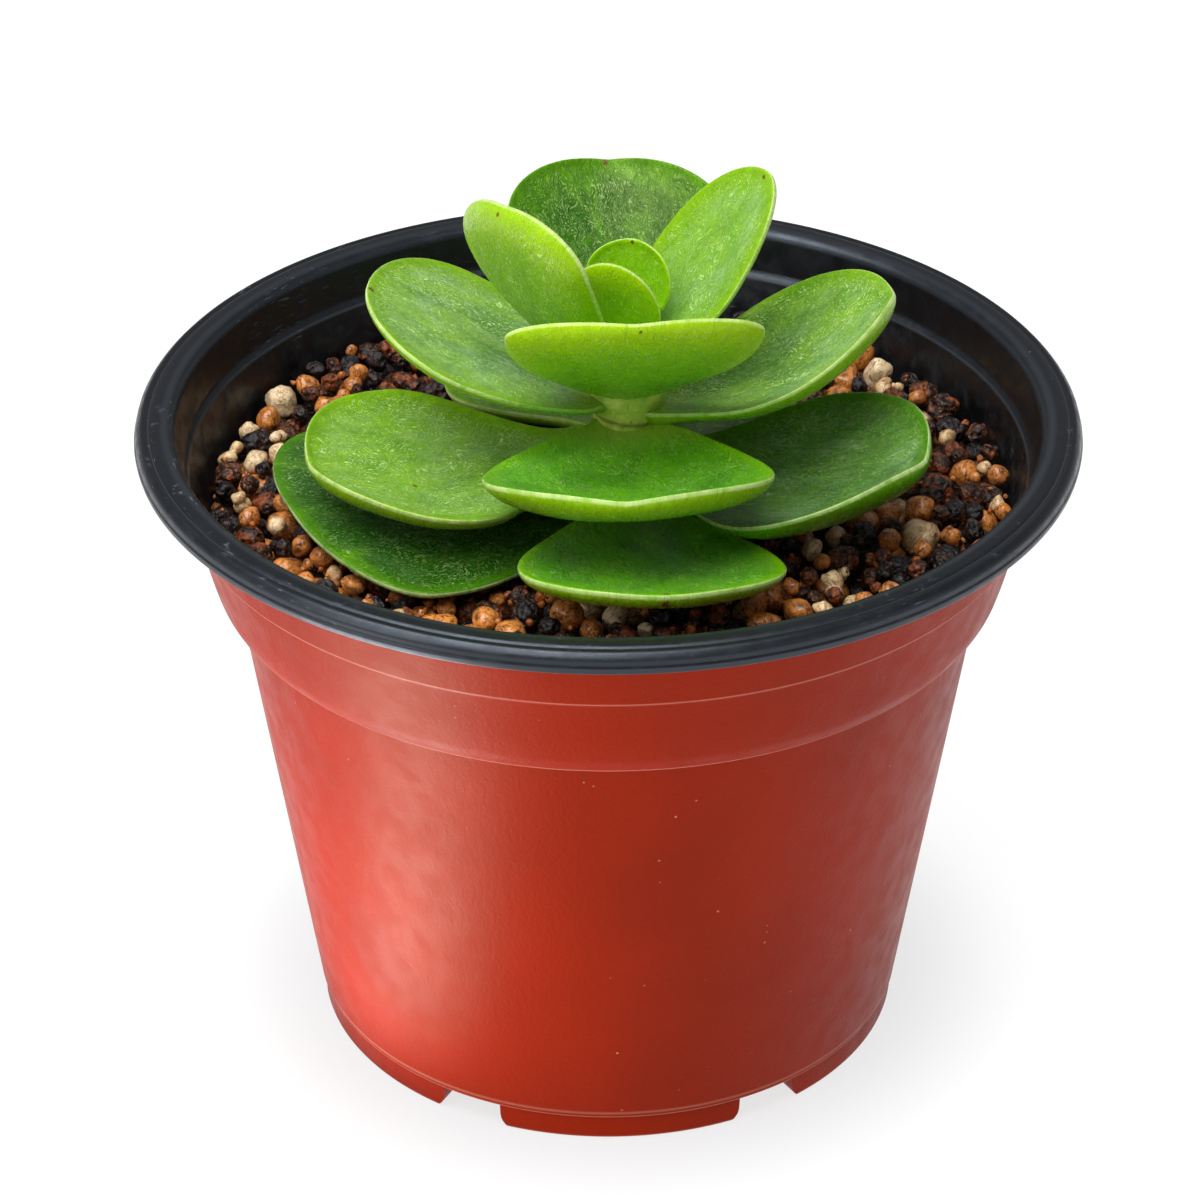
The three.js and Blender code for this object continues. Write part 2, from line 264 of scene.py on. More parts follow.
# Rings of a blade: how far in from the margin, and then what share of the way on to the middle line
MARGIN_RINGS = (0.0, 0.03, 0.1, 0.22, 0.4, 0.65, 1.0, 1.5, 2.2, 3.0)
INNER_RINGS = (0.12, 0.27, 0.44, 0.62, 0.81, 1.0)

# The depth of the relief in the skins, in metres
LEAF_RELIEF = 0.00016
BARK_RELIEF = 0.00025
CREST_HIGHLIGHT = (0.8, 0.9, 0.44, 1)
PAINTED_SHEEN_BLUE = (0.42, 0.62, 0.36, 1)
WAX_RIDGE_AND_GLINT = (0.66, 0.9, 0.34, 1)
FLECK_BROWN = (0.13, 0.045, 0.012, 1)
HOLLOW_SHADE_BLACK = (0.006, 0.004, 0.003, 1)
OLD_BARK = paint(120, 112, 58)
BARK_CRACK = paint(112, 84, 40)
SCAR_BROWN = paint(96, 60, 28)
SOIL_DUST = paint(50, 34, 24)
RUB_AND_HIGHLIGHT_GREY = paint(150, 157, 172)
BLACK_RIDGE_HIGHLIGHT = paint(140, 148, 165)
DAMP_SOIL = paint(44, 24, 15)
# The colours of the shine on each skin, and how deep green light goes into the plant, in metres
RED_SHINE = (1.0, 0.66, 0.24, 1.0)
BLACK_SHINE = (0.76, 0.86, 1.0, 1.0)
WAX_SHINE = (0.85, 1.0, 0.35, 1.0)
INTO_LEAF = (0.0011, 0.0016, 0.0004)
INTO_STEM = (0.001, 0.001, 0.0004)

# Granules: their kinds and shares, and how each kind swells, crumples and crumbles
GRIT_KINDS = ("cream", "amber", "brown", "black")
GRIT_SHARES = (0.135, 0.265, 0.33, 0.27)
GRIT_SHAPES = {
    "cream": (0.18, 0.06, 0.0),
    "amber": (0.12, 0.04, 0.0),
    "brown": (0.16, 0.11, 0.07),
    "black": (0.14, 0.1, 0.07),
    "crumb": (0.5, 0.3, 0.0),
}
# The crust of each kind and of the bed: other body colour, stain and its strength, dust and its colour, cracks,
# crinkle, the depth of its relief in metres and the strength of its glossy coat
GRIT_LOOKS = {
    "cream": ((250, 208, 146), (160, 90, 34), 0.3, 0.0, (250, 230, 200), 0.5, 0.3, 0.0003, 0.5),
    "amber": ((224, 142, 70), (108, 44, 10), 0.42, 0.1, (250, 190, 120), 0.7, 0.35, 0.0003, 0.5),
    "brown": ((34, 21, 16), (214, 104, 36), 0.34, 0.35, (240, 136, 60), 0.0, 1.5, 0.0007, 0.12),
    "black": ((18, 16, 19), (84, 46, 28), 0.3, 0.15, (180, 130, 100), 0.0, 1.6, 0.0007, 0.12),
    "crumb": ((110, 56, 28), (240, 150, 70), 0.5, 0.3, (255, 190, 120), 0.0, 1.0, 0.0003, 0.12),
    "bed": ((22, 12, 8), (8, 5, 4), 0.9, 0.35, (120, 60, 28), 0.0, 1.2, 0.0006, 0.0),
}
# Shapes of a kind, with a radius of about one: bumps of three sizes, width and height, and in some kinds round
# pits of this width and depth
SHAPES_OF_A_KIND = 26
BUMP_SCALES = (1.2, 3.1, 6.5)
BUMP_HEIGHT = 1.5
GRAIN_WIDTH = (0.8, 1.0)
GRAIN_HEIGHT = (0.68, 0.95)
PITTED_KINDS = ("cream", "amber")
MOST_PITS = 2
PIT_WIDTH = (0.03, 0.09)
PIT_DEPTH = (0.12, 0.34)
# Some granules are two lumps grown together: how far each lies from the middle, both sizes and the waist
DOUBLE_SHARE = 0.16
LUMP_AWAY = (0.4, 0.55)
LUMP_SIZE = 0.72
OTHER_LUMP_SIZE = (0.5, 0.7)
WAIST = 0.35
# The spread and limits of the radius round its setting, and how many granules are small ones
RADIUS_SPREAD = 0.14
RADIUS_LIMITS = (0.6, 1.45)
SMALL_SHARE, SMALL_SCALE = 0.08, 0.64
# How closely granules settle, and the room they leave at the wall, the stem and the leaves
SETTLING = 0.93
BED_PRESS = 0.35
WALL_ROOM = 0.35
STEM_ROOM = 3.6
LEAF_ROOM = 0.15
WALL_HEIGHT = 75
# How many places each granule tries, and how many granules in a row may find none
PLACES_TRIED = 10
MISSES_ALLOWED = 400
# Granules that reach above this height have a finer mesh
SHOWN_ABOVE = 74.0
# The heights of the leaves over the soil are kept in a grid of one millimetre, of this half width
NO_LEAF = 999.0
GRID_HALF = 56
# Crumbs: their radii, the room at the wall, how high they lie on the bed and how far they stay under the top
# granules, and the shares of a granule's radius and of their own at which they come to rest
CRUMB_RADII = (0.3, 0.75)
CRUMB_WALL_ROOM = 0.5
CRUMB_LIFT = 0.3
CRUMBS_LOWER = 1.2
CRUMB_REACH = (0.97, 0.6)

# The floor's half size and how far it lies under the pot, in millimetres
FLOOR_HALF = 3000.0
FLOOR_DROP = 0.05
# The floor's own light: its bright wedge's turn from the front and half width in degrees, the distances from
# the middle between which the wedge fades, and how bright the rest is beside the wedge
WEDGE_TURN = 52.0
WEDGE_HALF = 32.0
WEDGE_FAR = (255.0, 80.0)
WEDGE_NEAR = (37.0, 64.0)
FLOOR_SHARE = 0.1015
# The floor's light is a little darker round the foot as a painted contact shadow: from and to which distance,
# and from and to which share
FOOT_SHADE = (36.0, 62.0, 0.79, 1.0)
ROOM_COLOUR = (0.97, 0.98, 1.0, 1.0)
SENSOR_WIDTH = 36.0
NEAREST_SEEN = 0.01
# Soft lights: place, what each points at, size, the setting that holds its power, and colour, in metres
LIGHTS = {
    "overhead_light": ((-0.3, -0.28, 1.2), (0.0, 0.0, 0.08), (1.1, 0.9), "overhead", (0.97, 0.985, 1.0)),
    "left_light": ((-0.62, -0.45, 0.5), (0.0, 0.0, 0.06), (0.35, 0.5), "key", (1.0, 0.985, 0.96)),
    "right_light": ((1.2, -0.35, 0.5), (0.0, 0.0, 0.05), (0.5, 0.8), "fill", (1.0, 1.0, 1.0)),
}


def colour_setting(name, description, start):
    return FloatVectorProperty(name=name, description=description, subtype="COLOR", size=4, min=0, max=1,
                               default=start)


def length_setting(name, description, start, low, high, precision=5):
    return FloatProperty(name=name, description=description, default=start, min=low, max=high, unit="LENGTH",
                         precision=precision)


def share_setting(name, description, start, low=0.0):
    return FloatProperty(name=name, description=description, default=start, min=low, max=1, subtype="FACTOR")


def power_setting(name, description, start):
    return FloatProperty(name=name, description=description, default=start, min=0, max=1000, unit="POWER")


def plain_setting(name, description, start, low, high):
    kind = IntProperty if isinstance(start, int) else FloatProperty
    return kind(name=name, description=description, default=start, min=low, max=high)


class PotSettings(bpy.types.PropertyGroup):
    red: colour_setting("Outside", "Colour of the outside plastic", paint(152, 27, 0))
    # Pale red of the specks, and of the painted highlight along corners and ridges
    red_pale: colour_setting("Pale specks and highlight", "Colour of the pale specks and of the painted highlight on corners",
                             paint(246, 196, 170))
    black: colour_setting("Inside", "Colour of the rim and the inside", paint(8, 9, 11))
    red_roughness: share_setting("Outside roughness", "How matt the outside is", 0.41, 0.05)
    black_roughness: share_setting("Rim roughness", "How matt the rim is", 0.36, 0.05)
    grain: length_setting("Grain depth", "Depth of the fine moulded grain", 0.00002, 0, 0.0005, 6)


class PlantSettings(bpy.types.PropertyGroup):
    heart: colour_setting("Heart leaves", "Green of the newest leaves", paint(153, 214, 4))
    young: colour_setting("Young leaves", "Green of the upper leaves", paint(134, 187, 12))
    # The front leaves' more saturated green paints the shade they lie in
    bright: colour_setting("Front leaves", "Green of the front leaves, more saturated as painted shade", paint(100, 180, 3))
    grown: colour_setting("Grown leaves", "Green of the full-grown leaves", paint(132, 184, 18))
    old: colour_setting("Old leaves", "Green of the lowest leaves", paint(82, 138, 10))
    margin: colour_setting("Leaf margin", "Colour of the thick margin of a leaf", paint(166, 206, 6))
    underside: colour_setting("Underside", "Colour of the leaves' undersides", paint(118, 174, 16))
    base: colour_setting("Leaf base", "Colour near the stem", paint(188, 212, 72))
    stem: colour_setting("Stem", "Colour of the stem", paint(240, 242, 128))
    wobble: length_setting("Unevenness", "How far the blades swell and dip", 0.0003, 0, 0.002)
    wax: share_setting("Wax", "Strength of the waxy coat", 0.42)


class SoilSettings(bpy.types.PropertyGroup):
    granules: plain_setting("Granules", "How many granules lie on the bed", 1300, 10, 4000)
    crumbs: plain_setting("Crumbs", "How many small crumbs lie between them", 500, 0, 4000)
    radius: length_setting("Granule radius", "Middle radius of a granule", 0.0022, 0.0005, 0.005)
    top: length_setting("Top of the granules", "Height that no granule passes", 0.0771, 0.07, 0.085)
    seed: plain_setting("Seed", "Another seed lays other granules", 11, 0, 9999)
    cream: colour_setting("Cream", "Colour of the pale granules", paint(255, 230, 186))
    amber: colour_setting("Amber", "Colour of the amber granules", paint(242, 150, 60))
    brown: colour_setting("Brown", "Colour of the brown clods", paint(62, 37, 26))
    black: colour_setting("Black", "Colour of the black granules", paint(34, 31, 36))
    crumb: colour_setting("Crumb", "Colour of the small crumbs", paint(220, 118, 50))


class StageSettings(bpy.types.PropertyGroup):
    camera_back: length_setting("Camera distance", "How far in front the camera stands", 0.5017, 0.1, 5)
    camera_up: length_setting("Camera height", "Height of the camera above the floor", 0.3579, 0, 5)
    camera_side: length_setting("Camera to the right", "Sideways place of the camera", -0.001055, -1, 1, 6)
    camera_tilt: FloatProperty(
        name="Camera tilt", description="Turn of the camera up from straight down", subtype="ANGLE",
        default=math.radians(59.13), min=0, max=math.pi)
    lens: plain_setting("Lens", "Focal length of the camera in millimetres", 135.0, 10, 400)
    floor: colour_setting("Floor", "Colour of the floor", (0.135, 0.1365, 0.138, 1))
    floor_glow: plain_setting("Floor glow", "Light of the floor's brightest part", 9.4, 0, 50)
    sky: plain_setting("Room light", "Strength of the even light from all round", 0.26, 0, 5)
    overhead: power_setting("Overhead light", "Power of the large light above", 18.5)
    key: power_setting("Left light", "Power of the light at the left", 1.7)
    fill: power_setting("Right light", "Power of the light at the right", 0.2)


FLOAT, COLOUR, VECTOR = "NodeSocketFloat", "NodeSocketColor", "NodeSocketVector"


def feed(sockets, values):
    """Leads other nodes' outputs to the named sockets, or sets plain values there."""
    for name, value in values.items():
        if isinstance(value, bpy.types.NodeSocket):
            value.id_data.links.new(value, sockets[name])
        else:
            sockets[name].default_value = value


def place(tree, kind, sockets, **settings):
    """Adds a node with these settings, and with values or other nodes' outputs in its sockets."""
    made = tree.nodes.new(kind)
    for name, value in settings.items():
        setattr(made, name, value)
    feed(made.inputs, sockets)
    return made


def maths(operation, first, second=0.5):
    return place(first.id_data, "ShaderNodeMath", {0: first, 1: second}, operation=operation).outputs[0]


def times(first, second):
    return maths("MULTIPLY", first, second)


def plus(first, second):
    return maths("ADD", first, second)


def vector_maths(operation, sockets, output=0):
    return place(sockets[0].id_data, "ShaderNodeVectorMath", sockets, operation=operation).outputs[output]


def spread(value, low, high, to_low=0.0, to_high=1.0):
    """The value run smoothly from one range into another."""
    node = place(value.id_data, "ShaderNodeMapRange", {
        "Value": value, "From Min": low, "From Max": high, "To Min": to_low, "To Max": to_high,
    }, interpolation_type="SMOOTHSTEP")
    return node.outputs["Result"]


def mixed(share, first, second):
    return place(share.id_data, "ShaderNodeMix", {0: share, 6: first, 7: second}, data_type="RGBA").outputs[2]


def cloud(where, scale, detail=2.0, roughness=0.5, distortion=0.0, output="Fac"):
    node = place(where.id_data, "ShaderNodeTexNoise", {
        "Vector": where, "Scale": scale, "Detail": detail, "Roughness": roughness, "Distortion": distortion,
    })
    return node.outputs[output]


def cells(where, scale, feature="F1"):
    sockets = {"Vector": where, "Scale": scale}
    return place(where.id_data, "ShaderNodeTexVoronoi", sockets, feature=feature).outputs["Distance"]


def stretched(where, along, across, up=1.0):
    return vector_maths("MULTIPLY", {0: where, 1: (along, across, up)})


def parts_of(where):
    return place(where.id_data, "ShaderNodeSeparateXYZ", {0: where}).outputs


def mesh_value(tree, name, output="Fac"):
    return place(tree, "ShaderNodeAttribute", {}, attribute_name=name).outputs[output]


def in_millimetres(tree):
    where = place(tree, "ShaderNodeTexCoord", {}).outputs["Object"]
    return stretched(where, 1 / MM, 1 / MM, 1 / MM)


def bumped(height, depth):
    sockets = {"Height": height, "Strength": 1.0, "Distance": depth}
    return place(height.id_data, "ShaderNodeBump", sockets).outputs["Normal"]


def shader_group(name, takes, gives):
    """A new shader group; takes and gives list each socket's name, kind and start value."""
    tree = bpy.data.node_groups.new(name, "ShaderNodeTree")
    for label, kind, start in takes:
        socket = tree.interface.new_socket(label, in_out="INPUT", socket_type=kind)
        socket.default_value = start
    for label, kind in gives:
        tree.interface.new_socket(label, in_out="OUTPUT", socket_type=kind)
    source = tree.nodes.new("NodeGroupInput").outputs
    drain = tree.nodes.new("NodeGroupOutput").inputs
    return tree, source, drain


def use_group(tree, make, sockets):
    """Places the shader group that the function makes, and makes it only once."""
    name = make.__name__
    group = bpy.data.node_groups[name] if name in bpy.data.node_groups else make(name)
    return place(tree, "ShaderNodeGroup", sockets, node_tree=group).outputs


def new_material(name, shown):
    """A new material with only its shader and output; returns it, its nodes and the shader's inputs."""
    material = bpy.data.materials.new(name)
    material.diffuse_color = shown
    material.use_nodes = True
    tree = material.node_tree
    return material, tree, tree.nodes["Principled BSDF"].inputs


def worn(skin, relief):
    """What a shader takes from a skin's group; the relief is its depth in metres."""
    raised = bumped(skin["Height"], relief)
    return {"Base Color": skin["Colour"], "Roughness": skin["Roughness"], "Normal": raised}


def deeper(colour, red, green, blue):
    return (colour[0] * red, colour[1] * green, colour[2] * blue, 1.0)


def lit_floor(name):
    """Even light from the floor, darkened round the foot as a painted contact shadow, and the same with a
    bright wedge at the left front for the pot to mirror.
    """
    tree, source, drain = shader_group(name, [("Place", VECTOR, (0, 0, 0))],
                                       [("Light", COLOUR), ("Even Light", COLOUR)])
    parts = parts_of(source["Place"])
    turn = maths("ARCTAN2", times(parts["X"], -1.0), times(parts["Y"], -1.0))
    off = maths("ABSOLUTE", maths("SUBTRACT", turn, math.radians(WEDGE_TURN)))
    wedge = spread(off, math.radians(WEDGE_HALF), 0.0)
    away = vector_maths("LENGTH", {0: source["Place"]}, "Value")
    wedge = times(wedge, spread(away, *WEDGE_FAR))
    wedge = times(wedge, spread(away, *WEDGE_NEAR))
    # The even light dims round the foot as a painted contact shadow
    even = times(spread(away, *FOOT_SHADE), FLOOR_SHARE)
    feed(drain, {"Light": maths("MAXIMUM", even, wedge), "Even Light": even})
    return tree


def moulded_skin(name):
    """The fine grain, pale specks and rubbed streaks of thin moulded plastic."""
    tree, source, drain = shader_group(
        name,
        [("Place", VECTOR, (0, 0, 0)), ("Grain", FLOAT, 1.6), ("Specks", FLOAT, 0.5), ("Rubs", FLOAT, 0.5)],
        [("Height", FLOAT), ("Speck", FLOAT), ("Rub", FLOAT), ("Cloudiness", FLOAT)],
    )
    where = source["Place"]
    fine = cloud(where, source["Grain"], 3.0, 0.6)
    wrinkle = cloud(stretched(where, 1.0, 1.0, 0.45), 0.9, 2.0, 0.5, 0.8)
    slow = cloud(where, 0.035)
    small = spread(cells(where, 0.42), 0.09, 0.045)
    chosen = spread(cloud(where, 0.31, 0.0), 0.5, 0.62)
    patchy = spread(cloud(where, 0.06), 0.45, 0.75)
    speck = times(times(small, chosen), patchy)
    lines = cloud(stretched(where, 0.5, 0.5, 6.0), 0.8, 3.0, 0.6)
    rub = times(spread(lines, 0.6, 0.72), spread(slow, 0.45, 0.6))
    feed(drain, {
        "Height": plus(times(fine, 0.6), times(wrinkle, 0.5)), "Speck": times(speck, source["Specks"]),
        "Rub": times(rub, source["Rubs"]), "Cloudiness": slow,
    })
    return tree


def red_plastic(settings):
    material, tree, shader = new_material("brick_red_plastic", settings.red)
    where = in_millimetres(tree)
    skin = use_group(tree, moulded_skin, {"Place": where, "Grain": 1.9, "Specks": 1.0, "Rubs": 0.4})
    dull = deeper(settings.red, 0.82, 0.82, 0.82)
    colour = mixed(spread(skin["Cloudiness"], 0.35, 0.7), settings.red, dull)
    # Paler red along the corners and ridges is a painted highlight
    colour = mixed(times(mesh_value(tree, "stretch"), 0.75), colour, settings.red_pale)
    colour = mixed(times(skin["Speck"], 0.55), colour, settings.red_pale)
    middle = settings.red_roughness
    rough = spread(cloud(where, 0.3, 3.0), 0.3, 0.7, middle - 0.05, middle + 0.06)
    feed(shader, {
        "Base Color": colour, "Roughness": rough, "Normal": bumped(skin["Height"], settings.grain * 3.5),
        "Specular IOR Level": 0.15, "Specular Tint": RED_SHINE,
    })
    return material


def black_plastic(settings):
    material, tree, shader = new_material("black_rim_plastic", settings.black)
    where = in_millimetres(tree)
    skin = use_group(tree, moulded_skin, {"Place": where, "Grain": 2.4, "Specks": 1.0, "Rubs": 1.0})
    # Soil dust clings to the wall below the rim
    low = spread(parts_of(where)["Z"], 84.5, 77.0)
    dusty = times(spread(cloud(where, 0.5, 4.0, 0.65), 0.45, 0.7), low)
    colour = mixed(times(dusty, 0.14), settings.black, SOIL_DUST)
    # Pale rubbed streaks and specks, whose blue-grey also paints highlight streaks on the rim
    pale = maths("MAXIMUM", skin["Rub"], skin["Speck"])
    colour = mixed(times(pale, 0.3), colour, RUB_AND_HIGHLIGHT_GREY)
    # Pale blue-grey along the rim's corners and ridges is a painted highlight
    colour = mixed(times(mesh_value(tree, "stretch"), 0.16), colour, BLACK_RIDGE_HIGHLIGHT)
    middle = settings.black_roughness
    rough = spread(cloud(where, 0.4, 3.0), 0.3, 0.7, middle - 0.06, middle + 0.08)
    rough = plus(times(dusty, 0.25), rough)
    feed(shader, {
        "Base Color": colour, "Roughness": rough, "Normal": bumped(skin["Height"], settings.grain),
        "Specular IOR Level": 0.66, "Specular Tint": BLACK_SHINE,
    })
    return material


def blade_green(source, mottle):
    """Green that is mottled along the blade, deepens inward and brightens at the margin, partly as painted
    sheen, and on the hull.
    """
    where, edge = source["Place"], source["Edge"]
    slow = cloud(stretched(where, 0.1, 0.16), 1.0, 3.0, 0.55, 0.6)
    depth = plus(source["Depth of Green"], spread(slow, 0.32, 0.68, -0.5, 0.5))
    depth = plus(depth, spread(edge, 1.0, 9.0, -0.2, 0.25))
    green = mixed(spread(depth, 0.0, 1.0), source["Face"], source["Deep"])
    green = mixed(spread(mottle, 0.35, 0.72, 0.0, 0.6), green, source["Deep"])
    green = mixed(spread(source["Along"], 0.2, 0.0, 0.0, 0.6), green, source["Base"])
    # Paler green inside the margin: partly the margin's own colour, partly painted sheen
    green = mixed(spread(edge, 2.6, 0.2, 0.0, 0.32), green, source["Margin"])
    hull = times(source["Under"], spread(edge, 6.0, 1.2, 0.25, 0.75))
    green = mixed(hull, green, source["Margin"])
    below = times(source["Under"], spread(edge, 2.5, 7.0))
    green = mixed(times(below, 0.4), green, source["Underside"])
    # A hair-thin painted highlight line runs along the margin's crest
    broken = spread(cloud(where, 0.5), 0.25, 0.6, 0.35, 1.0)
    crest = times(spread(edge, 0.14, 0.04), broken)
    return mixed(times(crest, 0.55), green, CREST_HIGHLIGHT)


def bluish_bloom(source):
    """How strongly the painted bluish sheen, standing in for reflections of the light, lies on the blade, in
    patches broken by fine hair-like streaks.
    """
    where = source["Place"]
    patch = spread(cloud(stretched(where, 0.09, 0.11), 1.0, 3.0, 0.6, 0.8), 0.42, 0.68)
    patch = plus(times(patch, 0.7), 0.2)
    sheen_patches = times(times(patch, source["Mist"]), spread(source["Edge"], 1.0, 4.0))
    hairs = cloud(stretched(where, 0.35, 2.4), 1.0, 2.0, 0.6, 1.2)
    return times(sheen_patches, spread(hairs, 0.35, 0.65, 0.25, 1.0))


def waxy_ridges(source, drifted):
    """Where wax stands up, in ridges like short brush strokes and in dots between them."""
    where = source["Place"]
    stroke = spread(cloud(stretched(drifted, 2.7, 7.0), 1.0, 1.0, 0.5, 0.4), 0.555, 0.585)
    ridge = times(stroke, spread(cloud(where, 0.16), 0.38, 0.6, 0.5, 1.0))
    dots = spread(cells(where, 1.25), 0.17, 0.11)
    dotted = times(dots, spread(cloud(where, 0.5, 1.0), 0.36, 0.5))
    inside = spread(source["Edge"], 0.5, 1.8, 0.15, 1.0)
    return times(maths("MAXIMUM", ridge, dotted), inside)


def waxy_leaf_skin(name):
    """The skin of a succulent leaf: mottled green, pale margin, waxy worm-like ridges and tiny dots, paled
    partly as wax and partly as painted glints.
    """
    tree, source, drain = shader_group(
        name,
        [("Place", VECTOR, (0, 0, 0)), ("Along", FLOAT, 0.5), ("Edge", FLOAT, 5.0), ("Under", FLOAT, 0.0),
         ("Depth of Green", FLOAT, 0.5), ("Fleck", VECTOR, (-99, 0, 0)),
         ("Face", COLOUR, (0.1, 0.3, 0.02, 1)), ("Deep", COLOUR, (0.05, 0.2, 0.01, 1)),
         ("Margin", COLOUR, (0.4, 0.6, 0.05, 1)), ("Base", COLOUR, (0.45, 0.55, 0.06, 1)),
         ("Underside", COLOUR, (0.2, 0.45, 0.2, 1)), ("Bloom", FLOAT, 0.3), ("Mist", FLOAT, 0.2)],
        [("Colour", COLOUR), ("Height", FLOAT), ("Roughness", FLOAT)],
    )
    where = source["Place"]
    mottle = cloud(stretched(where, 0.35, 0.6), 1.0, 3.0, 0.6, 1.2)
    # A painted bluish sheen stands in for reflections of the light on the blade
    green = mixed(bluish_bloom(source), blade_green(source, mottle), PAINTED_SHEEN_BLUE)
    drift = vector_maths("SCALE", {0: cloud(where, 0.3, output="Color"), "Scale": 4.0})
    drifted = vector_maths("ADD", {0: where, 1: drift})
    raised = waxy_ridges(source, drifted)
    # The ridges and dots are paled partly by wax and partly as painted glints
    green = mixed(times(raised, source["Bloom"]), green, WAX_RIDGE_AND_GLINT)
    # A brown fleck with a ragged rim
    off = vector_maths("LENGTH", {0: source["Fleck"]}, "Value")
    ragged = plus(off, spread(cloud(where, 2.6), 0.2, 0.8, -0.35, 0.35))
    green = mixed(spread(ragged, 1.2, 0.7, 0.0, 0.9), green, FLECK_BROWN)
    wrinkles = cloud(stretched(drifted, 0.4, 1.2), 1.0, 3.0, 0.6)
    pores = cloud(where, 3.5, 1.0)
    height = plus(times(wrinkles, 1.5), times(raised, 1.25))
    rough = maths("SUBTRACT", spread(mottle, 0.3, 0.7, 0.22, 0.38), times(raised, 0.1))
    feed(drain, {"Colour": green, "Height": plus(height, times(pores, 0.25)), "Roughness": rough})
    return tree


def leaf_skin(kind, settings):
    """The material of one kind of leaf."""
    deep, margin, wax_glint = LEAF_LOOKS[kind]
    face = getattr(settings, kind)
    material, tree, shader = new_material(kind + "_leaf_skin", face)
    skin = use_group(tree, waxy_leaf_skin, {
        "Place": mesh_value(tree, "blade_place", "Vector"),
        "Along": mesh_value(tree, "blade_along"),
        "Edge": mesh_value(tree, "blade_edge"),
        "Under": mesh_value(tree, "blade_under"),
        "Depth of Green": mesh_value(tree, "blade_depth"),
        "Fleck": mesh_value(tree, "blade_fleck", "Vector"),
        "Mist": mesh_value(tree, "blade_mist"),
        "Face": face, "Deep": deeper(face, *deep), "Margin": deeper(settings.margin, *margin),
        "Base": settings.base, "Underside": settings.underside, "Bloom": wax_glint,
    })
    feed(shader, worn(skin, LEAF_RELIEF))
    feed(shader, {
        "Subsurface Weight": 0.15, "Subsurface Radius": INTO_LEAF, "Subsurface Scale": 1.0,
        "Specular IOR Level": settings.wax, "Specular Tint": WAX_SHINE,
    })
    return material


def stem_skin(settings):
    material, tree, shader = new_material("stem_bark", settings.stem)
    where = in_millimetres(tree)
    mottle = cloud(where, 0.6, 3.0)
    shade = deeper(settings.stem, 0.62, 0.8, 0.5)
    colour = mixed(spread(mottle, 0.35, 0.65), settings.stem, shade)
    old = spread(parts_of(where)["Z"], 83.0, 77.0)
    colour = mixed(times(old, 0.7), colour, OLD_BARK)
    crack = spread(cloud(stretched(where, 1.2, 1.2, 0.3), 1.0, 3.0, 0.6), 0.56, 0.68)
    colour = mixed(times(crack, 0.35), colour, BARK_CRACK)
    colour = mixed(mesh_value(tree, "scar"), colour, SCAR_BROWN)
    height = plus(cloud(where, 1.4, 4.0, 0.6), times(crack, -0.4))
    feed(shader, {
        "Base Color": colour, "Roughness": spread(mottle, 0.3, 0.7, 0.42, 0.6),
        "Normal": bumped(height, BARK_RELIEF),
        "Subsurface Weight": 0.15, "Subsurface Radius": INTO_STEM, "Subsurface Scale": 1.0,
    })
    return material


def grit_crust(name):
    """The crust of a granule: two body colours, stains, dust, and wriggling cracks and pits painted near-black
    as shade.
    """
    tree, source, drain = shader_group(
        name,
        [("Place", VECTOR, (0, 0, 0)), ("Tone", FLOAT, 0.5), ("Pit", FLOAT, 0.0),
         ("Body", COLOUR, (0.5, 0.3, 0.1, 1)), ("Other Body", COLOUR, (0.3, 0.15, 0.05, 1)),
         ("Stain", COLOUR, (0.1, 0.04, 0.02, 1)), ("Stained", FLOAT, 0.5), ("Dust", FLOAT, 0.3),
         ("Dust Colour", COLOUR, (0.6, 0.4, 0.2, 1)), ("Cracks", FLOAT, 1.0), ("Crinkle", FLOAT, 1.0)],
        [("Colour", COLOUR), ("Height", FLOAT), ("Roughness", FLOAT)],
    )
    where = source["Place"]
    broad = cloud(where, 0.38, 3.0, 0.6, 0.8)
    fine = cloud(where, 1.7, 4.0, 0.65, 0.4)
    body = mixed(source["Tone"], source["Body"], source["Other Body"])
    body = mixed(spread(fine, 0.4, 0.65, 0.0, 0.45), body, source["Other Body"])
    body = mixed(times(spread(broad, 0.47, 0.6), source["Stained"]), body, source["Stain"])
    # Cracks run where a slow cloud crosses its middle
    wriggle = maths("ABSOLUTE", maths("SUBTRACT", cloud(where, 0.55, 2.0, 0.6, 1.6), 0.5))
    halo = times(spread(wriggle, 0.075, 0.01), source["Cracks"])
    body = mixed(times(halo, 0.75), body, source["Stain"])
    broken = times(spread(cloud(where, 0.9, 1.0), 0.42, 0.56), source["Cracks"])
    crack = times(spread(wriggle, 0.02, 0.006), broken)
    # Pits, holes and cracks are painted near-black as shade in these hollows
    hole = times(spread(cells(where, 0.6), 0.17, 0.08), spread(broad, 0.6, 0.5))
    dark = maths("MAXIMUM", maths("MAXIMUM", source["Pit"], hole), crack)
    body = mixed(times(dark, 0.93), body, HOLLOW_SHADE_BLACK)
    dusty = spread(cloud(where, 2.4), 0.58, 0.68)
    body = mixed(times(dusty, source["Dust"]), body, source["Dust Colour"])
    creased = times(cells(where, 1.25, "SMOOTH_F1"), source["Crinkle"])
    height = plus(times(fine, 0.6), creased)
    height = maths("SUBTRACT", height, times(dark, 0.5))
    feed(drain, {"Colour": body, "Height": height, "Roughness": spread(fine, 0.35, 0.65, 0.22, 0.5)})
    return tree


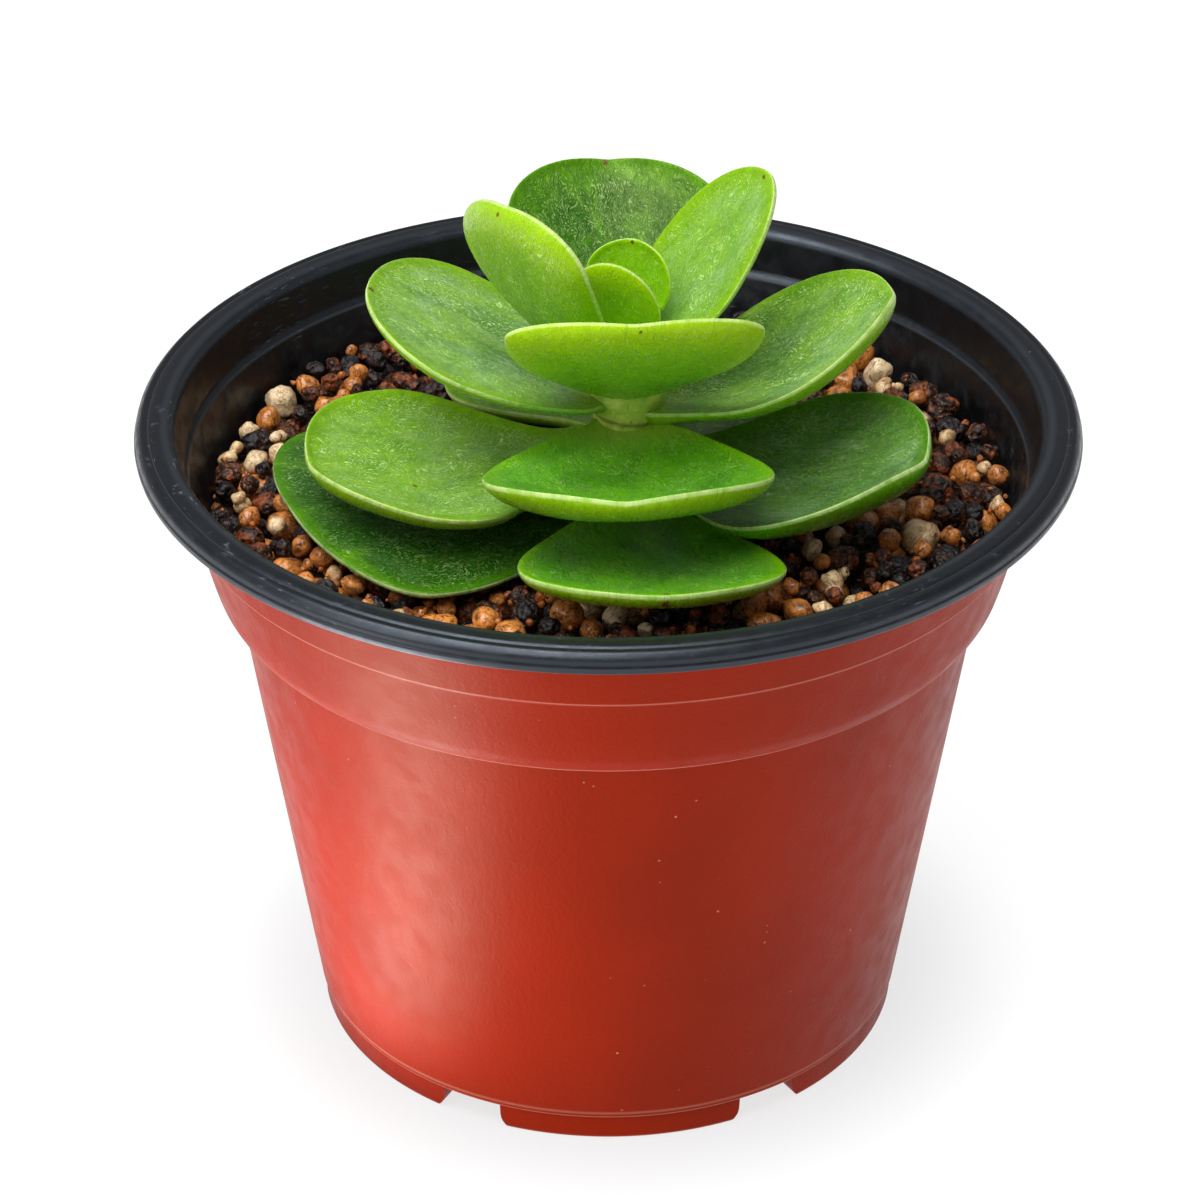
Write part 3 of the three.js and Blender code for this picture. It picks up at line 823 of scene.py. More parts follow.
def crusted(name, kind, body, shown, grains):
    """A material with the crust of one kind; grains is the function that gives its place, tone and pits."""
    other, stain, stained, dust, dust_colour, cracks, crinkle, relief, coat = GRIT_LOOKS[kind]
    material, tree, shader = new_material(name, shown)
    crust = use_group(tree, grit_crust, {
        **grains(tree), "Body": body, "Other Body": paint(*other), "Stain": paint(*stain), "Stained": stained,
        "Dust": dust, "Dust Colour": paint(*dust_colour), "Cracks": cracks, "Crinkle": crinkle,
    })
    feed(shader, worn(crust, relief))
    feed(shader, {"Coat Weight": coat, "Coat Roughness": 0.1})
    return material


def own_grains(tree):
    """Each granule's own place in the clouds, its tone and the painted shade of its hollows and pits."""
    return {"Place": mesh_value(tree, "grain_place", "Vector"), "Tone": mesh_value(tree, "grain_tone"),
            "Pit": mesh_value(tree, "grain_pit")}


def packed_grains(tree):
    return {"Place": in_millimetres(tree), "Tone": 0.6, "Pit": 0.0}


def grit_material(kind, colour):
    return crusted("grit_" + kind, kind, colour, colour, own_grains)


def bed_material(settings):
    return crusted("damp_fine_soil", "bed", DAMP_SOIL, settings.brown, packed_grains)


def floor_material(settings):
    material, tree, shader = new_material("studio_floor", settings.floor)
    light = use_group(tree, lit_floor, {"Place": in_millimetres(tree)})
    # The camera sees the even light with its painted contact shadow, and the pot mirrors the wedge
    seen = place(tree, "ShaderNodeLightPath", {}).outputs["Is Camera Ray"]
    feed(shader, {
        "Emission Color": mixed(seen, light["Light"], light["Even Light"]), "Base Color": settings.floor,
        "Roughness": 0.7, "Specular IOR Level": 0.1, "Emission Strength": settings.floor_glow,
    })
    return material


def new_piece(name, points, faces, materials):
    """An object in the shared frame from points in millimetres."""
    mesh = bpy.data.meshes.new(name)
    mesh.from_pydata((np.asarray(points, dtype=float) * MM).tolist(), [], faces)
    mesh.validate()
    piece = bpy.data.objects.new(name, mesh)
    bpy.context.scene.collection.objects.link(piece)
    for material in materials:
        mesh.materials.append(material)
    mesh.polygons.foreach_set("use_smooth", [True] * len(mesh.polygons))
    return piece


def keep_values(mesh, values):
    """Stores one number or one vector for each vertex under each name."""
    for name, numbers in values.items():
        numbers = np.asarray(numbers, dtype=np.float32)
        kind, field = ("FLOAT", "value") if numbers.ndim == 1 else ("FLOAT_VECTOR", "vector")
        mesh.attributes.new(name, kind, "POINT").data.foreach_set(field, numbers.ravel())


def rounded(corners):
    """A line through the corners, each rounded, as rows of across, up, paleness of the painted highlight and
    corner number.
    """
    rows = []
    for i, (across, up, rounding, stretch) in enumerate(corners):
        here = np.array([across, up])
        if i in (0, len(corners) - 1) or rounding == 0:
            rows.append((across, up, stretch, i))
            continue
        before = np.array(corners[i - 1][:2]) - here
        after = np.array(corners[i + 1][:2]) - here
        start = here + before * min(rounding / np.linalg.norm(before), 0.45)
        end = here + after * min(rounding / np.linalg.norm(after), 0.45)
        for s in np.arange(CORNER_STEPS + 1) / CORNER_STEPS:
            point = (1 - s) ** 2 * start + 2 * s * (1 - s) * here + s * s * end
            rows.append((point[0], point[1], stretch * math.sin(math.pi * s), i))
    return rows


def turned(rows, count, at=(0.0, 0.0)):
    """A surface turned round the upright axis at a place. Rows with no radius become one point."""
    angles = np.arange(count) * 2 * math.pi / count
    points, rings, faces, face_rows = [], [], [], []
    for radius, height in rows:
        if radius < 1e-9:
            rings.append([len(points)] * count)
            points.append((at[0], at[1], height))
        else:
            rings.append(list(range(len(points), len(points) + count)))
            circle = at[0] + radius * np.cos(angles), at[1] + radius * np.sin(angles)
            points.extend(zip(*circle, [height] * count))
    for row, (low, high) in enumerate(zip(rings, rings[1:])):
        for j in range(count):
            k = (j + 1) % count
            corners = [low[j], low[k], high[k], high[j]]
            face = [corners[n] for n in range(4) if corners[n] != corners[n - 1]]
            if len(face) > 2:
                faces.append(face)
                face_rows.append(row)
    return np.array(points), rings, faces, face_rows


def bar(ends):
    """A closed bar from the corners of its one end, followed by those of its other end."""
    count = len(ends) // 2
    sides = [[j, (j + 1) % count, count + (j + 1) % count, count + j] for j in range(count)]
    return ends, sides + [list(range(count))[::-1], list(range(count, 2 * count))]


def notch(outline, turn):
    """A bar outward through the foot; the outline holds sideways and up."""
    out = np.array([math.sin(turn), -math.cos(turn)])
    side = np.array([math.cos(turn), math.sin(turn)])
    return bar([(*(out * reach + side * across), up) for reach in NOTCH_FROM_TO for across, up in outline])


def drain_hole(middle, radius):
    """A round bar up through the floor."""
    circle = np.arange(DRAIN_ROUND) * 2 * math.pi / DRAIN_ROUND
    return bar([(middle[0] + radius * math.cos(a), middle[1] + radius * math.sin(a), up)
                for up in DRAIN_FROM_TO for a in circle])


def cutters():
    """The notches in the foot and the drain holes in the floor, as one mesh."""
    side = [(across, up) for across, up, _, _ in rounded(NOTCH_SIDE)]
    outline = side + [(-across, up) for across, up in side[::-1]]
    bars = []
    for n in range(NOTCH_COUNT):
        turn = math.radians(FIRST_NOTCH + 360 * n / NOTCH_COUNT)
        middle = (DRAIN_CIRCLE * math.sin(turn), -DRAIN_CIRCLE * math.cos(turn))
        bars += [notch(outline, turn), drain_hole(middle, DRAIN_RADIUS)]
    bars.append(drain_hole((0.0, 0.0), MIDDLE_DRAIN_RADIUS))
    points, faces = [], []
    for more_points, more_faces in bars:
        faces += [[corner + len(points) for corner in face] for face in more_faces]
        points += more_points
    return new_piece("pot_cutters", points, faces, [])


def outward(mesh):
    """Joins the vertices that lie on one another and turns every face of a closed mesh outward."""
    shell = bmesh.new()
    shell.from_mesh(mesh)
    bmesh.ops.remove_doubles(shell, verts=shell.verts, dist=SAME_PLACE)
    bmesh.ops.recalc_face_normals(shell, faces=shell.faces)
    shell.to_mesh(mesh)
    shell.free()
    mesh.update()


def applied(piece):
    """Applies the piece's modifiers to its mesh."""
    seen = bpy.context.evaluated_depsgraph_get()
    finished = bpy.data.meshes.new_from_object(piece.evaluated_get(seen))
    spare = piece.data
    piece.modifiers.clear()
    piece.data = finished
    bpy.data.meshes.remove(spare)
    finished.name = piece.name
    return finished


def wall_radius(height):
    """Radius of the inside of the pot at a height."""
    rows = sorted((up, across) for across, up, _, _ in BLACK_SIDE if up < INSIDE_TOP and across > 0)
    return float(np.interp(height, [up for up, _ in rows], [across for _, across in rows]))


def leaf_half_width(t, leaf):
    """Half the width at a share t of the length, as a share of the greatest half width."""
    widest = leaf["widest"]
    past = np.clip((t - widest) / (1 - widest), 0, 1)
    before = np.clip((widest - t) / widest, 0, 1)
    tip = np.sqrt(1 - past ** 2)
    waist = LEAF_BASE + (1 - LEAF_BASE) * (1 - before ** 2) ** leaf["waist"]
    return np.where(t > widest, tip, waist)


def leaf_points(along, across, lift, leaf):
    """Points of the leaf in the shared frame, from millimetres along, across and above its spine."""
    t = along / leaf["length"]
    rise, roll, turn, curl = (math.radians(leaf[key]) for key in ("rise", "roll", "azimuth", "curl"))
    slope = rise + curl * t
    out = leaf["length"] * (np.sin(slope) - math.sin(rise)) / curl - np.sin(slope) * lift
    up = leaf["length"] * (math.cos(rise) - np.cos(slope)) / curl + np.cos(slope) * lift
    across = across + leaf["sweep"] * leaf["length"] * t * t
    reach = out * math.cos(rise) + up * math.sin(rise)
    above = up * math.cos(rise) - out * math.sin(rise)
    side = across * math.cos(roll) - above * math.sin(roll)
    height = across * math.sin(roll) + above * math.cos(roll)
    away = LEAF_START + reach * math.cos(rise) - height * math.sin(rise)
    return np.stack([
        STEM_X + away * math.sin(turn) + side * math.cos(turn),
        STEM_Y - away * math.cos(turn) + side * math.sin(turn),
        leaf["height"] + reach * math.sin(rise) + height * math.cos(rise),
    ], axis=1)


def half_outline(leaf):
    """Half of the outline, from the middle of the base round to the tip, in millimetres."""
    length, half, widest = leaf["length"], leaf["width"] / 2, leaf["widest"]
    root = -LEAF_ROOT / length
    foot = half * float(leaf_half_width(np.array(root), leaf))
    base = [(root * length, foot * s) for s in (0.0, 0.5, 0.85)]
    count = max(10, round(widest * length * 1.15 / OUTLINE_STEP))
    shares = root + (widest - root) * np.linspace(0, 1, count, endpoint=False) ** 0.9
    side = [(t * length, half * float(leaf_half_width(t, leaf))) for t in shares]
    arc = max(12, round(0.5 * math.pi * (half + (1 - widest) * length) / 2 / OUTLINE_STEP))
    turns = np.linspace(0, math.pi / 2, arc + 1)
    tip = [((widest + (1 - widest) * math.sin(a)) * length, half * math.cos(a)) for a in turns]
    tip[-1] = (tip[-1][0], 0.0)
    return np.array(base + side + tip)


def way_to_margin(points, one):
    """Distance of each flat point from the outline, of which one half is given."""
    whole = np.concatenate([one, one[::-1] * [1, -1]])
    shares = np.linspace(0, 1, 4, endpoint=False)[:, None]
    line = np.concatenate([start + (end - start) * shares for start, end in zip(whole[:-1], whole[1:])])
    return np.array([np.sqrt(((line - point) ** 2).sum(axis=1).min()) for point in points])


def flat_blade(leaf):
    """Flat points of the blade in rings from the margin in, their way to the margin, and a ring's count."""
    one = half_outline(leaf)
    outline = np.concatenate([one, one[-2:0:-1] * [1, -1]])
    half = leaf["width"] / 2
    centre = leaf["widest"] * leaf["length"]
    reach = (1 - leaf["widest"]) * leaf["length"]
    # Each outline point runs inward to a point on the middle line
    foot = one[0, 0]
    first = foot + 1.2 * one[2, 1]
    before = first + (centre - first) * np.clip((outline[:, 0] - foot) / (centre - foot), 0, 1) ** 0.9
    past = max(0.0, reach - half * half / reach) * np.clip((outline[:, 0] - centre) / reach, 0, 1)
    inward = np.stack([before + past, np.zeros(len(outline))], axis=1) - outline
    depth = np.linalg.norm(inward, axis=1)
    rings = [np.minimum(ring, ring * 0.55 * depth / MARGIN_RINGS[-1]) / depth for ring in MARGIN_RINGS]
    rings += [rings[-1] * (1 - share) + share for share in INNER_RINGS]
    flat = np.concatenate([outline + inward * share[:, None] for share in rings])
    edge = way_to_margin(flat, one)
    edge[:len(outline)] = 0.0
    return flat, edge, len(outline)


def quarter_round(share):
    """Height of a quarter circle at a share of the way from its foot to its top, both one unit."""
    return np.sqrt(1 - (1 - np.clip(share, 0, 1)) ** 2)


def unevenness(x, y, seed, wobble):
    """Slow swells with smaller ones on them, in millimetres."""
    height = np.zeros(len(x))
    for size, shift, divider in SWELLS:
        swell = [noise.noise(Vector((px / size, py / size, seed + shift))) for px, py in zip(x, y)]
        height += np.array(swell) * wobble / MM / divider
    return height


def hump(way, height, middle, width):
    """A smooth hump with its middle at one place along the way."""
    return height * np.exp(-((way - middle) / width) ** 2)


def blade(number, name, wobble):
    """One leaf: a thick cupped blade with a round margin, as points, faces and values for its skin."""
    leaf = dict(zip(LEAF_SHAPE, LEAVES[name]))
    half = leaf["width"] / 2
    flat, edge, count = flat_blade(leaf)
    total = len(flat)
    x, y = flat[:, 0], flat[:, 1]
    t = x / leaf["length"]
    share = leaf_half_width(np.clip(t, 0, 0.9999), leaf)
    v = np.clip(y / (half * np.maximum(share, 0.02)), -1, 1)
    crest = CREST * (1 - quarter_round(edge / CREST_REACH))
    hull = (leaf["thick"] - CREST) * quarter_round(edge / HULL)
    wave = unevenness(x, y, 7.3 * number + 2.1, wobble)
    wave *= np.clip(t * 4, 0, 1) * np.clip(0.35 + edge / 6, 0, 1)
    middle = leaf["cup"] * v * v * share + wave
    # The face rises a little at the margin and dips inside it
    lip = (hump(edge, *LIP) - hump(edge, *DIP)) * np.clip((t - 0.12) * 6, 0, 1)
    # The base swells and widens where it clasps the stem
    clasp = hump(np.clip(x, 0, None), CLASP, 0.0, CLASP_REACH)
    wide = y * (1 + clasp * np.clip(1 - np.abs(v), 0, 0.4) / half) + np.sign(y) * clasp * 0.45 * np.abs(v)
    top = leaf_points(x, wide, middle - crest + lip, leaf)
    low = leaf_points(x, wide, middle - CREST - hull - 0.4 * clasp * (1 - v * v), leaf)
    faces = []
    for start in range(0, total - count, count):
        for j in range(count):
            a, b = start + j, start + (j + 1) % count
            faces.append([a, a + count, b + count, b])
            # The underside shares the margin's points with the face
            faces.append([n if n < count else n + total - count for n in (a, b, b + count, a + count)])
    _, depth, sheen = LEAF_SKIN[name]
    along, across, radius = FLECKS.get(name, NO_FLECK)
    none = np.zeros(total)
    values = {
        "blade_place": np.stack([x, wide + LEAF_APART * number, none], axis=1),
        "blade_along": t,
        "blade_edge": edge,
        "blade_depth": np.full(total, depth),
        "blade_mist": np.full(total, sheen),
        "blade_fleck": np.stack([(x - along) / radius, (wide - across) / radius, none], axis=1),
    }
    values = {label: np.concatenate([numbers, numbers[count:]]) for label, numbers in values.items()}
    values["blade_under"] = np.concatenate([none, np.ones(total - count)])
    return np.concatenate([top, low[count:]]), faces, values


def under_leaves():
    """The lowest height of the leaves over each square millimetre of the soil."""
    size = 2 * GRID_HALF
    grid = np.full((size, size), NO_LEAF)
    for name in LEAVES:
        points = np.array([vertex.co for vertex in bpy.data.objects["blade_" + name].data.vertices]) / MM
        squares = np.floor(points[:, :2] + GRID_HALF).astype(int)
        inside = ((squares >= 0) & (squares < size)).all(axis=1)
        np.minimum.at(grid, (squares[inside, 0], squares[inside, 1]), points[inside, 2])
    padded = np.pad(grid, 2, constant_values=NO_LEAF)
    return np.min([padded[i:i + size, j:j + size] for i in range(5) for j in range(5)], axis=0)


def room_above(grid, x, y):
    column, row = (int(min(max(math.floor(value) + GRID_HALF, 0), 2 * GRID_HALF - 1)) for value in (x, y))
    return grid[column, row]


def grit_shapes(kind, detail, rng):
    """Several shapes of one kind of granule, about one unit in radius, with a mask of their hollows and pits
    for painted shade.
    """
    ball = bmesh.new()
    bmesh.ops.create_icosphere(ball, subdivisions=detail, radius=1.0)
    directions = np.array([vertex.co.normalized() for vertex in ball.verts])
    faces = [[vertex.index for vertex in face.verts] for face in ball.faces]
    ball.free()
    shapes = []
    for _ in range(SHAPES_OF_A_KIND):
        shift = Vector(rng.uniform(0, 90, 3))
        radii = np.ones(len(directions))
        if rng.random() < DOUBLE_SHARE:
            radii = double_radii(directions, rng)
        bumps = np.array([
            sum(height * noise.noise(Vector(direction) * scale + shift)
                for height, scale in zip(GRIT_SHAPES[kind], BUMP_SCALES))
            for direction in directions])
        radii = radii * (1 + BUMP_HEIGHT * bumps)
        # The low hollows between the bumps get painted shade
        hollow_shade = np.clip(-bumps * 2.2 - 0.12, 0, 1)
        for _ in range(int(rng.integers(0, MOST_PITS + 1)) if kind in PITTED_KINDS else 0):
            spot = rng.normal(size=3)
            spot /= np.linalg.norm(spot)
            near = np.exp(-((1 - directions @ spot) / rng.uniform(*PIT_WIDTH)))
            radii = radii - rng.uniform(*PIT_DEPTH) * near
            hollow_shade = np.maximum(hollow_shade, np.clip(near * 1.3 - 0.3, 0, 1))
        size = np.array([1.0, rng.uniform(*GRAIN_WIDTH), rng.uniform(*GRAIN_HEIGHT)])
        shapes.append((directions * radii[:, None] * size, hollow_shade))
    return shapes, faces


def double_radii(directions, rng):
    """Radii of a granule that is grown together from two round lumps."""
    axis = rng.normal(size=3)
    axis *= rng.uniform(*LUMP_AWAY) / np.linalg.norm(axis)
    radii = np.zeros(len(directions))
    for offset, size in ((axis, LUMP_SIZE), (-axis, rng.uniform(*OTHER_LUMP_SIZE))):
        ahead = directions @ offset
        reach = ahead ** 2 - offset @ offset + size ** 2
        radii = np.maximum(radii, np.where(reach > 0, ahead + np.sqrt(np.maximum(reach, 0)), 0))
    return np.maximum(radii, WAIST)


def any_turn(rng):
    """A random turn in space as a matrix."""
    turn = rng.normal(size=4)
    a, b, c, d = turn / math.sqrt(sum(value * value for value in turn))
    return np.array([
        [1 - 2 * (c * c + d * d), 2 * (b * c - a * d), 2 * (b * d + a * c)],
        [2 * (b * c + a * d), 1 - 2 * (b * b + d * d), 2 * (c * d - a * b)],
        [2 * (b * d - a * c), 2 * (c * d + a * b), 1 - 2 * (b * b + c * c)],
    ])


def any_place(room, radius, rng):
    """A random place on the bed for a grain that leaves this room at the wall."""
    away = (wall_radius(WALL_HEIGHT) - room - radius) * math.sqrt(rng.random())
    turn = rng.uniform(0, 2 * math.pi)
    return away * math.cos(turn), away * math.sin(turn)


def resting_height(x, y, laid, reach_squared, lowest):
    """Height at which a grain comes to rest on the granules within its reach, or else on the bed."""
    gap = reach_squared - (laid[:, 0] - x) ** 2 - (laid[:, 1] - y) ** 2
    touching = gap > 0
    if touching.any():
        return float((laid[touching, 2] + np.sqrt(gap[touching])).max())
    return lowest


def lay_granules(settings, rng, grid):
    """Drops granules one by one into the lowest hollows; returns rows of x, y, height, radius and kind."""
    middle = settings.radius / MM
    smallest, largest = (middle * share for share in RADIUS_LIMITS)
    limit = settings.top / MM
    laid = np.zeros((settings.granules, 5))
    count = misses = 0
    while count < settings.granules and misses < MISSES_ALLOWED:
        radius = float(np.clip(rng.normal(middle, middle * RADIUS_SPREAD), smallest, largest))
        if rng.random() < SMALL_SHARE:
            radius *= SMALL_SCALE
        best = None
        for _ in range(PLACES_TRIED):
            x, y = any_place(WALL_ROOM, radius, rng)
            if math.hypot(x - STEM_X, y - STEM_Y) < STEM_ROOM + radius:
                continue
            lowest = BED_TOP + BED_PRESS * radius
            near = laid[:count]
            height = resting_height(x, y, near, (near[:, 3] + radius) ** 2 * SETTLING, lowest)
            height = max(height, lowest)
            if height + radius > min(limit, room_above(grid, x, y) - LEAF_ROOM):
                continue
            if best is None or height < best[2]:
                best = (x, y, height)
        if best is None:
            misses += 1
            continue
        misses = 0
        laid[count] = (*best, radius, rng.choice(len(GRIT_KINDS), p=GRIT_SHARES))
        count += 1
    return laid[:count]


def lay_crumbs(settings, rng, grid, laid):
    """Drops small crumbs into the hollows between the granules; returns rows like those of lay_granules."""
    limit = settings.top / MM - CRUMBS_LOWER
    under, over = CRUMB_REACH
    rows = []
    for _ in range(settings.crumbs * 3):
        if len(rows) == settings.crumbs:
            break
        radius = rng.uniform(*CRUMB_RADII)
        x, y = any_place(CRUMB_WALL_ROOM, radius, rng)
        height = resting_height(x, y, laid, (laid[:, 3] * under + radius * over) ** 2, BED_TOP + CRUMB_LIFT)
        if height + radius < min(limit, room_above(grid, x, y) - LEAF_ROOM):
            rows.append((x, y, height, radius, 0))
    return np.array(rows)


def heap(kind, batches, rng):
    """All granules of one kind as one mesh; each batch is the fineness of its granules and their rows."""
    points, faces, start = [], [], 0
    values = {"grain_place": [], "grain_tone": [], "grain_pit": []}
    for detail, rows in batches:
        shapes, ball = grit_shapes(kind, detail, rng)
        for x, y, height, radius, _ in rows:
            shape, hollow_shade = shapes[int(rng.integers(len(shapes)))]
            points.append(shape @ any_turn(rng).T * radius + (x, y, height))
            values["grain_place"].append(shape * radius + rng.uniform(0, 400, 3))
            values["grain_tone"].append(np.full(len(shape), rng.random()))
            values["grain_pit"].append(hollow_shade)
            faces.extend([[corner + start for corner in face] for face in ball])
            start += len(shape)
    return np.concatenate(points), faces, {name: np.concatenate(blocks) for name, blocks in values.items()}


class SUCCULENT_OT_pot(bpy.types.Operator):
    """Builds the two-tone nursery pot with its rolled rim, ledge, foot notches and drain holes"""
    bl_idname = "succulent.pot"
    bl_label = "Pot"

    def execute(self, context):
        settings = context.scene.succulent_pot
        rows = rounded(RED_SIDE + BLACK_SIDE)
        points, rings, faces, face_rows = turned([row[:2] for row in rows], POT_ROUND)
        pot = new_piece("pot_shell", points, faces, [red_plastic(settings), black_plastic(settings)])
        # Each corner's paleness is a painted highlight
        stretch = np.zeros(len(points))
        for ring, row in zip(rings, rows):
            stretch[ring] = row[2]
        keep_values(pot.data, {"stretch": stretch})
        inside = [int(min(rows[row][3], rows[row + 1][3]) >= len(RED_SIDE)) for row in face_rows]
        pot.data.polygons.foreach_set("material_index", inside)
        outward(pot.data)
        knives = cutters()
        outward(knives.data)
        cut = pot.modifiers.new("openings", "BOOLEAN")
        cut.operation, cut.solver, cut.object = "DIFFERENCE", "EXACT", knives
        mesh = applied(pot)
        bpy.data.objects.remove(knives)
        mesh.polygons.foreach_set("use_smooth", [True] * len(mesh.polygons))
        mesh.set_sharp_from_angle(angle=SHARP_CORNER)
        if len(mesh.polygons) < len(faces) // 2:
            raise RuntimeError("the pot lost most of its faces while it was cut")
        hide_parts("pot")
        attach(pot, BODY)
        return {"FINISHED"}


class SUCCULENT_OT_leaves(bpy.types.Operator):
    """Builds the sixteen fleshy leaves with their thick, pale margins"""
    bl_idname = "succulent.leaves"
    bl_label = "Leaves"

    def execute(self, context):
        settings = context.scene.succulent_plant
        skins = {kind: leaf_skin(kind, settings) for kind in LEAF_LOOKS}
        for number, name in enumerate(LEAVES):
            points, faces, values = blade(number, name, settings.wobble)
            piece = new_piece("blade_" + name, points, faces, [skins[LEAF_SKIN[name][0]]])
            keep_values(piece.data, values)
            outward(piece.data)
            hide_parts("leaf_" + name)
            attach(piece, BODY)
        return {"FINISHED"}


class SUCCULENT_OT_stem(bpy.types.Operator):
    """Builds the stem with its swellings and old leaf scars"""
    bl_idname = "succulent.stem"
    bl_label = "Stem"

    def execute(self, context):
        settings = context.scene.succulent_plant
        known = np.array(STEM_SIDE)
        radii = np.interp(STEM_ROWS, known[:, 1], known[:, 0])
        margin = len(STEM_SOFTENING) // 2
        soft = np.convolve(np.pad(radii, margin, mode="edge"), STEM_SOFTENING, mode="valid")
        low, high = STEM_ENDS
        rows = [(0.0, low)] + list(zip(soft, STEM_ROWS)) + [(0.0, high)]
        points, _, faces, _ = turned(rows, STEM_ROUND, (STEM_X, STEM_Y))
        scar = np.zeros(len(points))
        for i, (x, y, z) in enumerate(points):
            turn = math.atan2(y - STEM_Y, x - STEM_X)
            around = BULGES_ROUND * math.cos(turn), BULGES_ROUND * math.sin(turn)
            grow = 1 + STEM_BULGE * noise.noise(Vector((*around, z / BULGES_UP)))
            for level in LEAF_SCARS:
                tilted = level + SCAR_TILT * math.sin(turn + level)
                close = math.exp(-((z - tilted) / SCAR_HEIGHT) ** 2)
                scar[i] = max(scar[i], close * SCAR_DARK)
                grow -= SCAR_DEPTH * close
            points[i, 0] = STEM_X + (x - STEM_X) * grow
            points[i, 1] = STEM_Y + (y - STEM_Y) * grow
        stem = new_piece("stem_flesh", points, faces, [stem_skin(settings)])
        keep_values(stem.data, {"scar": scar})
        outward(stem.data)
        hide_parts("stem")
        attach(stem, BODY)
        return {"FINISHED"}


class SUCCULENT_OT_soil_bed(bpy.types.Operator):
    """Builds the dark, crumbly bed that the granules lie on"""
    bl_idname = "succulent.soil_bed"
    bl_label = "Soil bed"

    def execute(self, context):
        settings = context.scene.succulent_soil
        side = [(0.0, BED_SIDE[0])] + [(wall_radius(height) - WALL_GAP, height) for height in BED_SIDE]
        edge = side[-1][0]
        top = [(edge * (1 - ring / BED_RINGS), BED_TOP) for ring in range(1, BED_RINGS)]
        points, rings, faces, _ = turned(side + top + [(0.0, BED_TOP)], BED_ROUND)
        for i in {corner for ring in rings[len(side):] for corner in ring}:
            x, y, _ = points[i]
            for width, shift, height in BED_LUMPS:
                points[i, 2] += height * noise.noise(Vector((x / width, y / width, settings.seed + shift)))
        bed = new_piece("soil_bed", points, faces, [bed_material(settings)])
        outward(bed.data)
        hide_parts("soil")
        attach(bed, BODY)
        return {"FINISHED"}


class SUCCULENT_OT_granules(bpy.types.Operator):
    """Lays the cream, amber, brown and black granules and the crumbs between them"""
    bl_idname = "succulent.granules"
    bl_label = "Granules"

    def execute(self, context):
        settings = context.scene.succulent_soil
        rng = np.random.default_rng(settings.seed)
        grid = under_leaves()
        laid = lay_granules(settings, rng, grid)
        if len(laid) < settings.granules // 2:
            raise RuntimeError("too few granules fitted on the bed")
        for number, kind in enumerate(GRIT_KINDS):
            mine = laid[laid[:, 4] == number]
            high = mine[:, 2] + mine[:, 3] > SHOWN_ABOVE
            self.build(kind, ((3, mine[high]), (2, mine[~high])), settings, rng)
        self.build("crumb", ((1, lay_crumbs(settings, rng, grid, laid)),), settings, rng)
        return {"FINISHED"}

    def build(self, kind, batches, settings, rng):
        points, faces, values = heap(kind, batches, rng)
        piece = new_piece("granules_" + kind, points, faces, [grit_material(kind, getattr(settings, kind))])
        keep_values(piece.data, values)
        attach(piece, BODY)


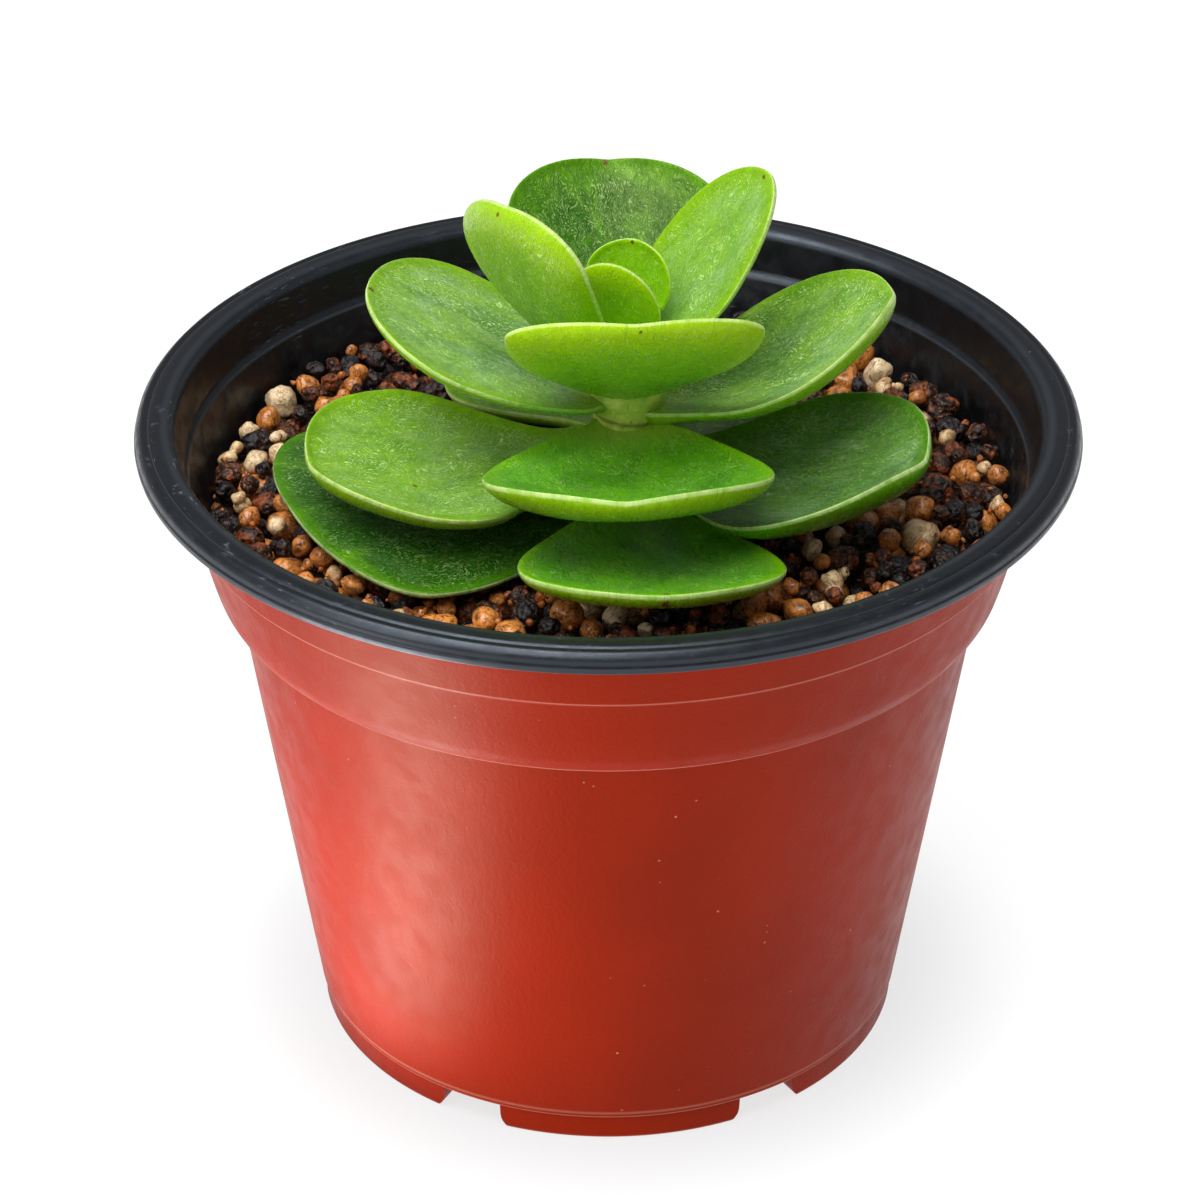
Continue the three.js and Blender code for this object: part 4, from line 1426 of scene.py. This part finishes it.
class SUCCULENT_OT_stage(bpy.types.Operator):
    """Sets up the floor, the soft lights and the camera"""
    bl_idname = "succulent.stage"
    bl_label = "Stage"

    def execute(self, context):
        settings = context.scene.succulent_stage
        scene = context.scene
        corners = [(x * FLOOR_HALF, y * FLOOR_HALF, -FLOOR_DROP)
                   for x, y in ((-1, -1), (1, -1), (1, 1), (-1, 1))]
        floor = new_piece("floor", corners, [[0, 1, 2, 3]], [floor_material(settings)])
        world = bpy.data.worlds.new("studio_room")
        world.use_nodes = True
        sky = world.node_tree.nodes["Background"].inputs
        sky["Color"].default_value = ROOM_COLOUR
        sky["Strength"].default_value = settings.sky
        scene.world = world
        for name, (at, towards, size, power, colour) in LIGHTS.items():
            self.soft_light(name, at, towards, size, getattr(settings, power), colour)
        lens = bpy.data.cameras.new("main_camera")
        lens.sensor_fit = "HORIZONTAL"
        lens.sensor_width = SENSOR_WIDTH
        lens.lens = settings.lens
        lens.clip_start = NEAREST_SEEN
        camera = bpy.data.objects.new("main_camera", lens)
        camera.location = (settings.camera_side, -settings.camera_back, settings.camera_up)
        camera.rotation_euler = (settings.camera_tilt, 0.0, 0.0)
        scene.collection.objects.link(camera)
        scene.camera = camera
        scene.view_settings.view_transform = "Standard"
        return {"FINISHED"}

    def soft_light(self, name, at, towards, size, power, colour):
        lamp = bpy.data.lights.new(name, "AREA")
        lamp.shape = "RECTANGLE"
        lamp.size, lamp.size_y = size
        lamp.energy = power
        lamp.color = colour
        light = bpy.data.objects.new(name, lamp)
        light.location = at
        light.rotation_euler = (Vector(towards) - Vector(at)).to_track_quat("-Z", "Y").to_euler()
        bpy.context.scene.collection.objects.link(light)


class SUCCULENT_PT_panel(bpy.types.Panel):
    """Lists the pieces of the potted succulent and their settings"""
    bl_label = "Potted succulent"
    bl_idname = "SUCCULENT_PT_panel"
    bl_space_type = "VIEW_3D"
    bl_region_type = "UI"
    bl_category = "Succulent"

    def draw(self, context):
        for label, group, operators in (
            ("Pot", context.scene.succulent_pot, ("pot",)),
            ("Plant", context.scene.succulent_plant, ("stem", "leaves")),
            ("Soil", context.scene.succulent_soil, ("soil_bed", "granules")),
            ("Stage", context.scene.succulent_stage, ("stage",)),
        ):
            box = self.layout.box()
            box.label(text=label)
            for name in group.__annotations__:
                box.prop(group, name)
            for operator in operators:
                box.operator("succulent." + operator)


CLASSES = (
    PotSettings,
    PlantSettings,
    SoilSettings,
    StageSettings,
    SUCCULENT_OT_pot,
    SUCCULENT_OT_leaves,
    SUCCULENT_OT_stem,
    SUCCULENT_OT_soil_bed,
    SUCCULENT_OT_granules,
    SUCCULENT_OT_stage,
    SUCCULENT_PT_panel,
)


def register():
    for made in CLASSES:
        bpy.utils.register_class(made)
    bpy.types.Scene.succulent_pot = PointerProperty(type=PotSettings)
    bpy.types.Scene.succulent_plant = PointerProperty(type=PlantSettings)
    bpy.types.Scene.succulent_soil = PointerProperty(type=SoilSettings)
    bpy.types.Scene.succulent_stage = PointerProperty(type=StageSettings)


def unregister():
    del bpy.types.Scene.succulent_stage
    del bpy.types.Scene.succulent_soil
    del bpy.types.Scene.succulent_plant
    del bpy.types.Scene.succulent_pot
    for made in reversed(CLASSES):
        bpy.utils.unregister_class(made)


def main():
    register()
    bpy.ops.succulent.stage()
    bpy.ops.succulent.pot()
    bpy.ops.succulent.leaves()
    bpy.ops.succulent.stem()
    bpy.ops.succulent.soil_bed()
    bpy.ops.succulent.granules()


if __name__ == "__main__":
    main()
